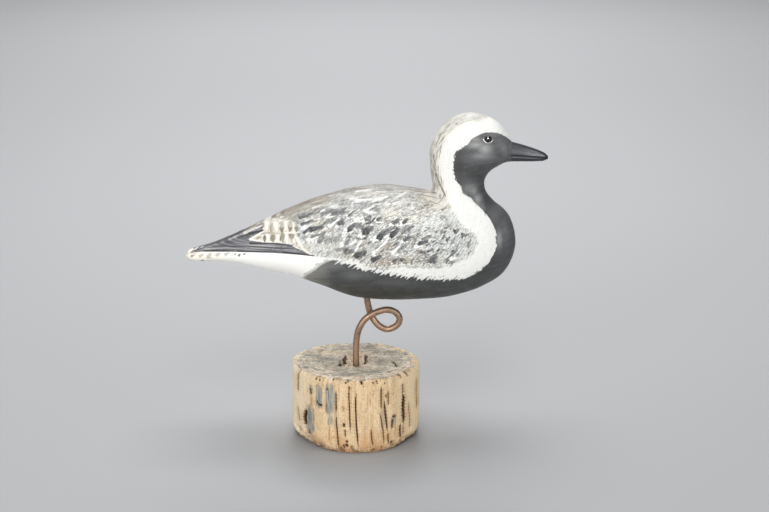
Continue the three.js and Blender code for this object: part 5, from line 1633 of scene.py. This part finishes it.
# %% Copper wire
AGED_METAL = 0.7
copper, C = new_material("copper_wire")
place_mm = C.place_mm()
patina, scratches = C.noise(place_mm, 0.14, 4, 0.6, 0.3), C.noise(place_mm, 1.3, 4, 0.7)
metal = C.coats(C.mix(C.ramp(patina, 0.35, 0.65), (174, 140, 117), (150, 128, 108)), {
    "scratches": ((204, 170, 146), C.ramp(scratches, 0.5, 0.7), 0.5),
    "tarnish": ((96, 78, 62), C.ramp(C.noise(place_mm, 0.3, 3), 0.58, 0.7), 0.7),
})
worn_gloss = C.ramp(patina, 0.3, 0.7, 0.36, 0.5)
finish_material(C, metal, worn_gloss, C.bump(scratches, 0.3, 0.2 * MM), Metallic=AGED_METAL)
dress(wire, "wire_leg", copper)

# %% [markdown]
# The block's side is warm tan wood under a worn skin: fibres and bands along the grain, darker furrows
# between the ribs, stain beside each split, soil at the foot, grey old wood where a flake is lost, and
# painted light that makes it paler toward its left and right edges, most at the right.
# The marks follow the values that the mesh stores, so colour and relief agree.

# %% Side of the block
wood, W = new_material("weathered_wood")
place_mm = W.place_mm()
wx, wy, wz = W.parts(place_mm)
arc_mm = W.times(W.stored("arc"), BLOCK_DIAMETER)
lengthwise = W.vector(wz, arc_mm, 0)
fibres = W.group("Streaks", Vector=lengthwise, Length=18, Width=0.6, Seed=1)
bands = W.group("Streaks", Vector=lengthwise, Length=50, Width=5, Seed=2)
blotches, specks = W.noise(place_mm, 0.11, 4, 0.6), W.noise(place_mm, 0.9, 3, 0.7)
dull = W.ramp(W.noise(place_mm, 0.2, 4, 0.6), 0.5, 0.66)
painted_side_light = W.ramp(W.math("ABSOLUTE", W.math("SUBTRACT", wx, 1)), 30, 50)
grey_wood = W.mix(W.ramp(fibres, 0.42, 0.58), (176, 173, 160), (124, 124, 117))
side_wood = W.coats(W.mix(W.ramp(bands, 0.36, 0.64), (230, 203, 163), (218, 188, 146)), {
    "furrows": ((182, 146, 106), W.ramp(W.stored("ribs"), -0.1, -0.7), 0.4),
    "dark fibres": ((178, 146, 110), W.ramp(fibres, 0.54, 0.66), 0.4),
    "dark specks": ((180, 150, 116), W.ramp(specks, 0.54, 0.66), 0.4),
    "pale specks": ((244, 222, 188), W.ramp(specks, 0.46, 0.36), 0.4),
    "brown low down": ((204, 156, 108), W.times(W.ramp(wz, 26, 4), W.ramp(blotches, 0.42, 0.58)), 0.8),
    "dull patches": ((192, 172, 140), dull, 0.5),
    # Painted light: paler toward the left and right edges, most at the right.
    "painted light at both sides": ((250, 232, 200), painted_side_light, 0.85),
    "painted light at the right": ((255, 226, 180), W.ramp(wx, 28, 44, 0, 0.6)),
    "stain beside splits": ((170, 130, 92), W.ramp(W.stored("stain"), 0, 0.9, 0, 0.42)),
    "worn edges": ((132, 100, 70), W.ramp(W.stored("worn_edge"), 0.3, 1.3, 0, 0.75)),
    "soil": ((132, 98, 66), W.times(W.ramp(wz, 8, 0.5), W.ramp(specks, 0.4, 0.58)), 0.85),
    "lost flakes": (grey_wood, W.stored("scar")),
})
W.count()

# %% [markdown]
# The top is end grain, bleached and dirty, with rings round the heart and painted light that makes it
# lighter toward the front. It takes over from the side at a wandering line along the rim. Over both lie
# what the weather cut: pale rot, holes and splits, with painted shade in the holes and splits and a
# painted shadow in the hollows of the heart.

# %% Top of the block and wood finish
patchy = W.noise(W.vector(W.times(wx, 0.11), W.times(wy, 0.24), 3), 1, 6, 0.7, 0.5)
from_heart = W.add("VectorMath", {0: W.vector(wx, wy, 0)}, output=1, operation="LENGTH")
rings = W.noise(W.vector(W.math("DIVIDE", from_heart, 1.9), W.math("DIVIDE", arc_mm, 12), 2), 1, 3, 0.6, 0.8)
pinkish = W.ramp(W.noise(place_mm, 0.09, 3, 0.6), 0.5, 0.62)
top_wood = W.coats(W.mix(W.ramp(patchy, 0.42, 0.58), (236, 225, 206), (178, 171, 156)), {
    "dark areas": ((136, 130, 122), W.stored("dark_on_top"), 0.9),
    "tan areas": ((236, 214, 182), W.stored("tan_on_top"), 0.9),
    "rings": ((118, 110, 100), W.ramp(rings, 0.52, 0.6), 0.6),
    "dark specks": ((120, 112, 102), W.ramp(specks, 0.55, 0.66), 0.5),
    "pinkish areas": ((208, 184, 162), pinkish, 0.35),
})
# Painted light: the top is lighter toward the front and a little toward the right, darker toward the back.
painted_light_on_top = W.times(W.ramp(wy, -45, 45, 1.48, 0.79), W.ramp(wx, 5, 40, 1, 1.07))
top_wood = W.add("HueSaturation", {"Value": painted_light_on_top, "Color": top_wood})
rim_wander = W.times(W.math("SUBTRACT", blotches, 0.5), 20)
end_grain = W.ramp(W.math("ADD", W.stored("from_rim"), rim_wander), 1.6, 4.6)
rotten_wood = W.mix(W.ramp(specks, 0.42, 0.58), (240, 222, 196), (186, 162, 134))
# Painted shadow in the hollows of the heart, broken up by specks.
hollow_shadow = W.math("ADD", W.stored("heart_shadow"), W.times(W.math("SUBTRACT", specks, 0.5), 2.4))
wood_colour = W.coats(side_wood, {
    "end grain": (top_wood, end_grain, W.ramp(wz, 50, 55)),
    "pale rot": (rotten_wood, W.ramp(W.stored("rot"), 1.5, 3)),
    # Painted shade: holes and splits are darker the deeper they are.
    "painted shade in shallow holes": ((86, 72, 58), W.ramp(W.stored("hole"), 0.3, 1.6)),
    "painted shade in deep holes": ((38, 28, 20), W.ramp(W.stored("hole"), 2, 5)),
    "painted shadow in the hollows": ((52, 38, 30), W.ramp(hollow_shadow, 0.2, 0.7, 0, 0.92)),
    "painted shade in shallow splits": ((116, 88, 60), W.ramp(W.stored("split"), 0.15, 0.8, 0, 0.8)),
    "painted shade in deep splits": ((48, 35, 25), W.ramp(W.stored("split"), 0.8, 2.2)),
})
wood_height = W.math("ADD", W.times(fibres, 1.5), W.noise(place_mm, 1.1, 4, 0.7))
finish_material(W, wood_colour, 0.85, W.bump(wood_height, 0.5, 0.6 * MM))
dress(block, "wood_block", wood)

# %% [markdown]
# The object stands on plain grey paper. Soft lamps in front model the bird, and lamps above and behind
# light the paper evenly into the distance. A lamp can be told which pieces it lights: the one at low
# right leaves the paper alone, and a small one makes only the highlight in each eye.

# %% Floor
FLOOR_REACH = 12
corners = [(FLOOR_REACH * x, FLOOR_REACH * y, 0) for x, y in ((-1, -1), (1, -1), (1, 1), (-1, 1))]
floor_mesh = bpy.data.meshes.new("floor")
floor_mesh.from_pydata(corners, [], [(0, 1, 2, 3)])
floor = bpy.data.objects.new("floor", floor_mesh)
bpy.context.collection.objects.link(floor)
paper, F = new_material("grey_paper")
finish_material(F, (176, 177, 179), 0.95, Specular_IOR_Level=0.0)
floor_mesh.materials.append(paper)

# %% Lamps
# Place, what it is aimed at, width in metres, power in watts.
LAMPS = {
    "front left": ((-0.9, -1.7, 0.3), (0, 0, 0.14), 1.2, 26),
    "front": ((0.05, -1.25, 1.2), (0, 0, 0.17), 0.5, 6),
    "low right": ((1.0, -1.6, 0.3), (0, 0, 0.14), 1.2, 15),
    "above": ((0, 0.3, 1.6), (0, 0.3, 0), 1.0, 17),
    "behind, near": ((0, 1.0, 1.1), (0, 1.0, 0), 0.6, 4.3),
    "behind, far": ((0, 2.4, 1.7), (0, 2.4, 0), 0.9, 31),
    "catchlight": ((0.05, -1.25, 1.2), (float(EYE_AT[0]), 0, float(EYE_AT[1])), 0.45, 200),
}
LIT_BY = {
    "low right": ("lit by the lamp at low right", [bird, bill, wire, block, *eyes.values()]),
    "catchlight": ("lit by the catchlight", list(eyes.values())),
}
for name, (place, aim, size, power) in LAMPS.items():
    data = bpy.data.lights.new(name, "AREA")
    data.shape = "SQUARE"
    data.size = size
    data.energy = power
    lamp = bpy.data.objects.new(name, data)
    lamp.location = place
    lamp.rotation_euler = (Vector(aim) - Vector(place)).to_track_quat("-Z", "Y").to_euler()
    bpy.context.collection.objects.link(lamp)
    if name in LIT_BY:
        title, lit_pieces = LIT_BY[name]
        lamp.light_linking.receiver_collection = bpy.data.collections.new(title)
        for piece in lit_pieces:
            lamp.light_linking.receiver_collection.objects.link(piece)
print("lamps:", list(LAMPS))

# %% Surroundings
SKY_COLOUR, SKY_STRENGTH = (0.97, 0.985, 1.0, 1), 0.2
world = bpy.data.worlds.new("studio")
world.use_nodes = True
world.node_tree.nodes["Background"].inputs[0].default_value = SKY_COLOUR
world.node_tree.nodes["Background"].inputs[1].default_value = SKY_STRENGTH
bpy.context.scene.world = world
bpy.context.scene.view_settings.view_transform = "Standard"
print("colours shown by:", bpy.context.scene.view_settings.view_transform)
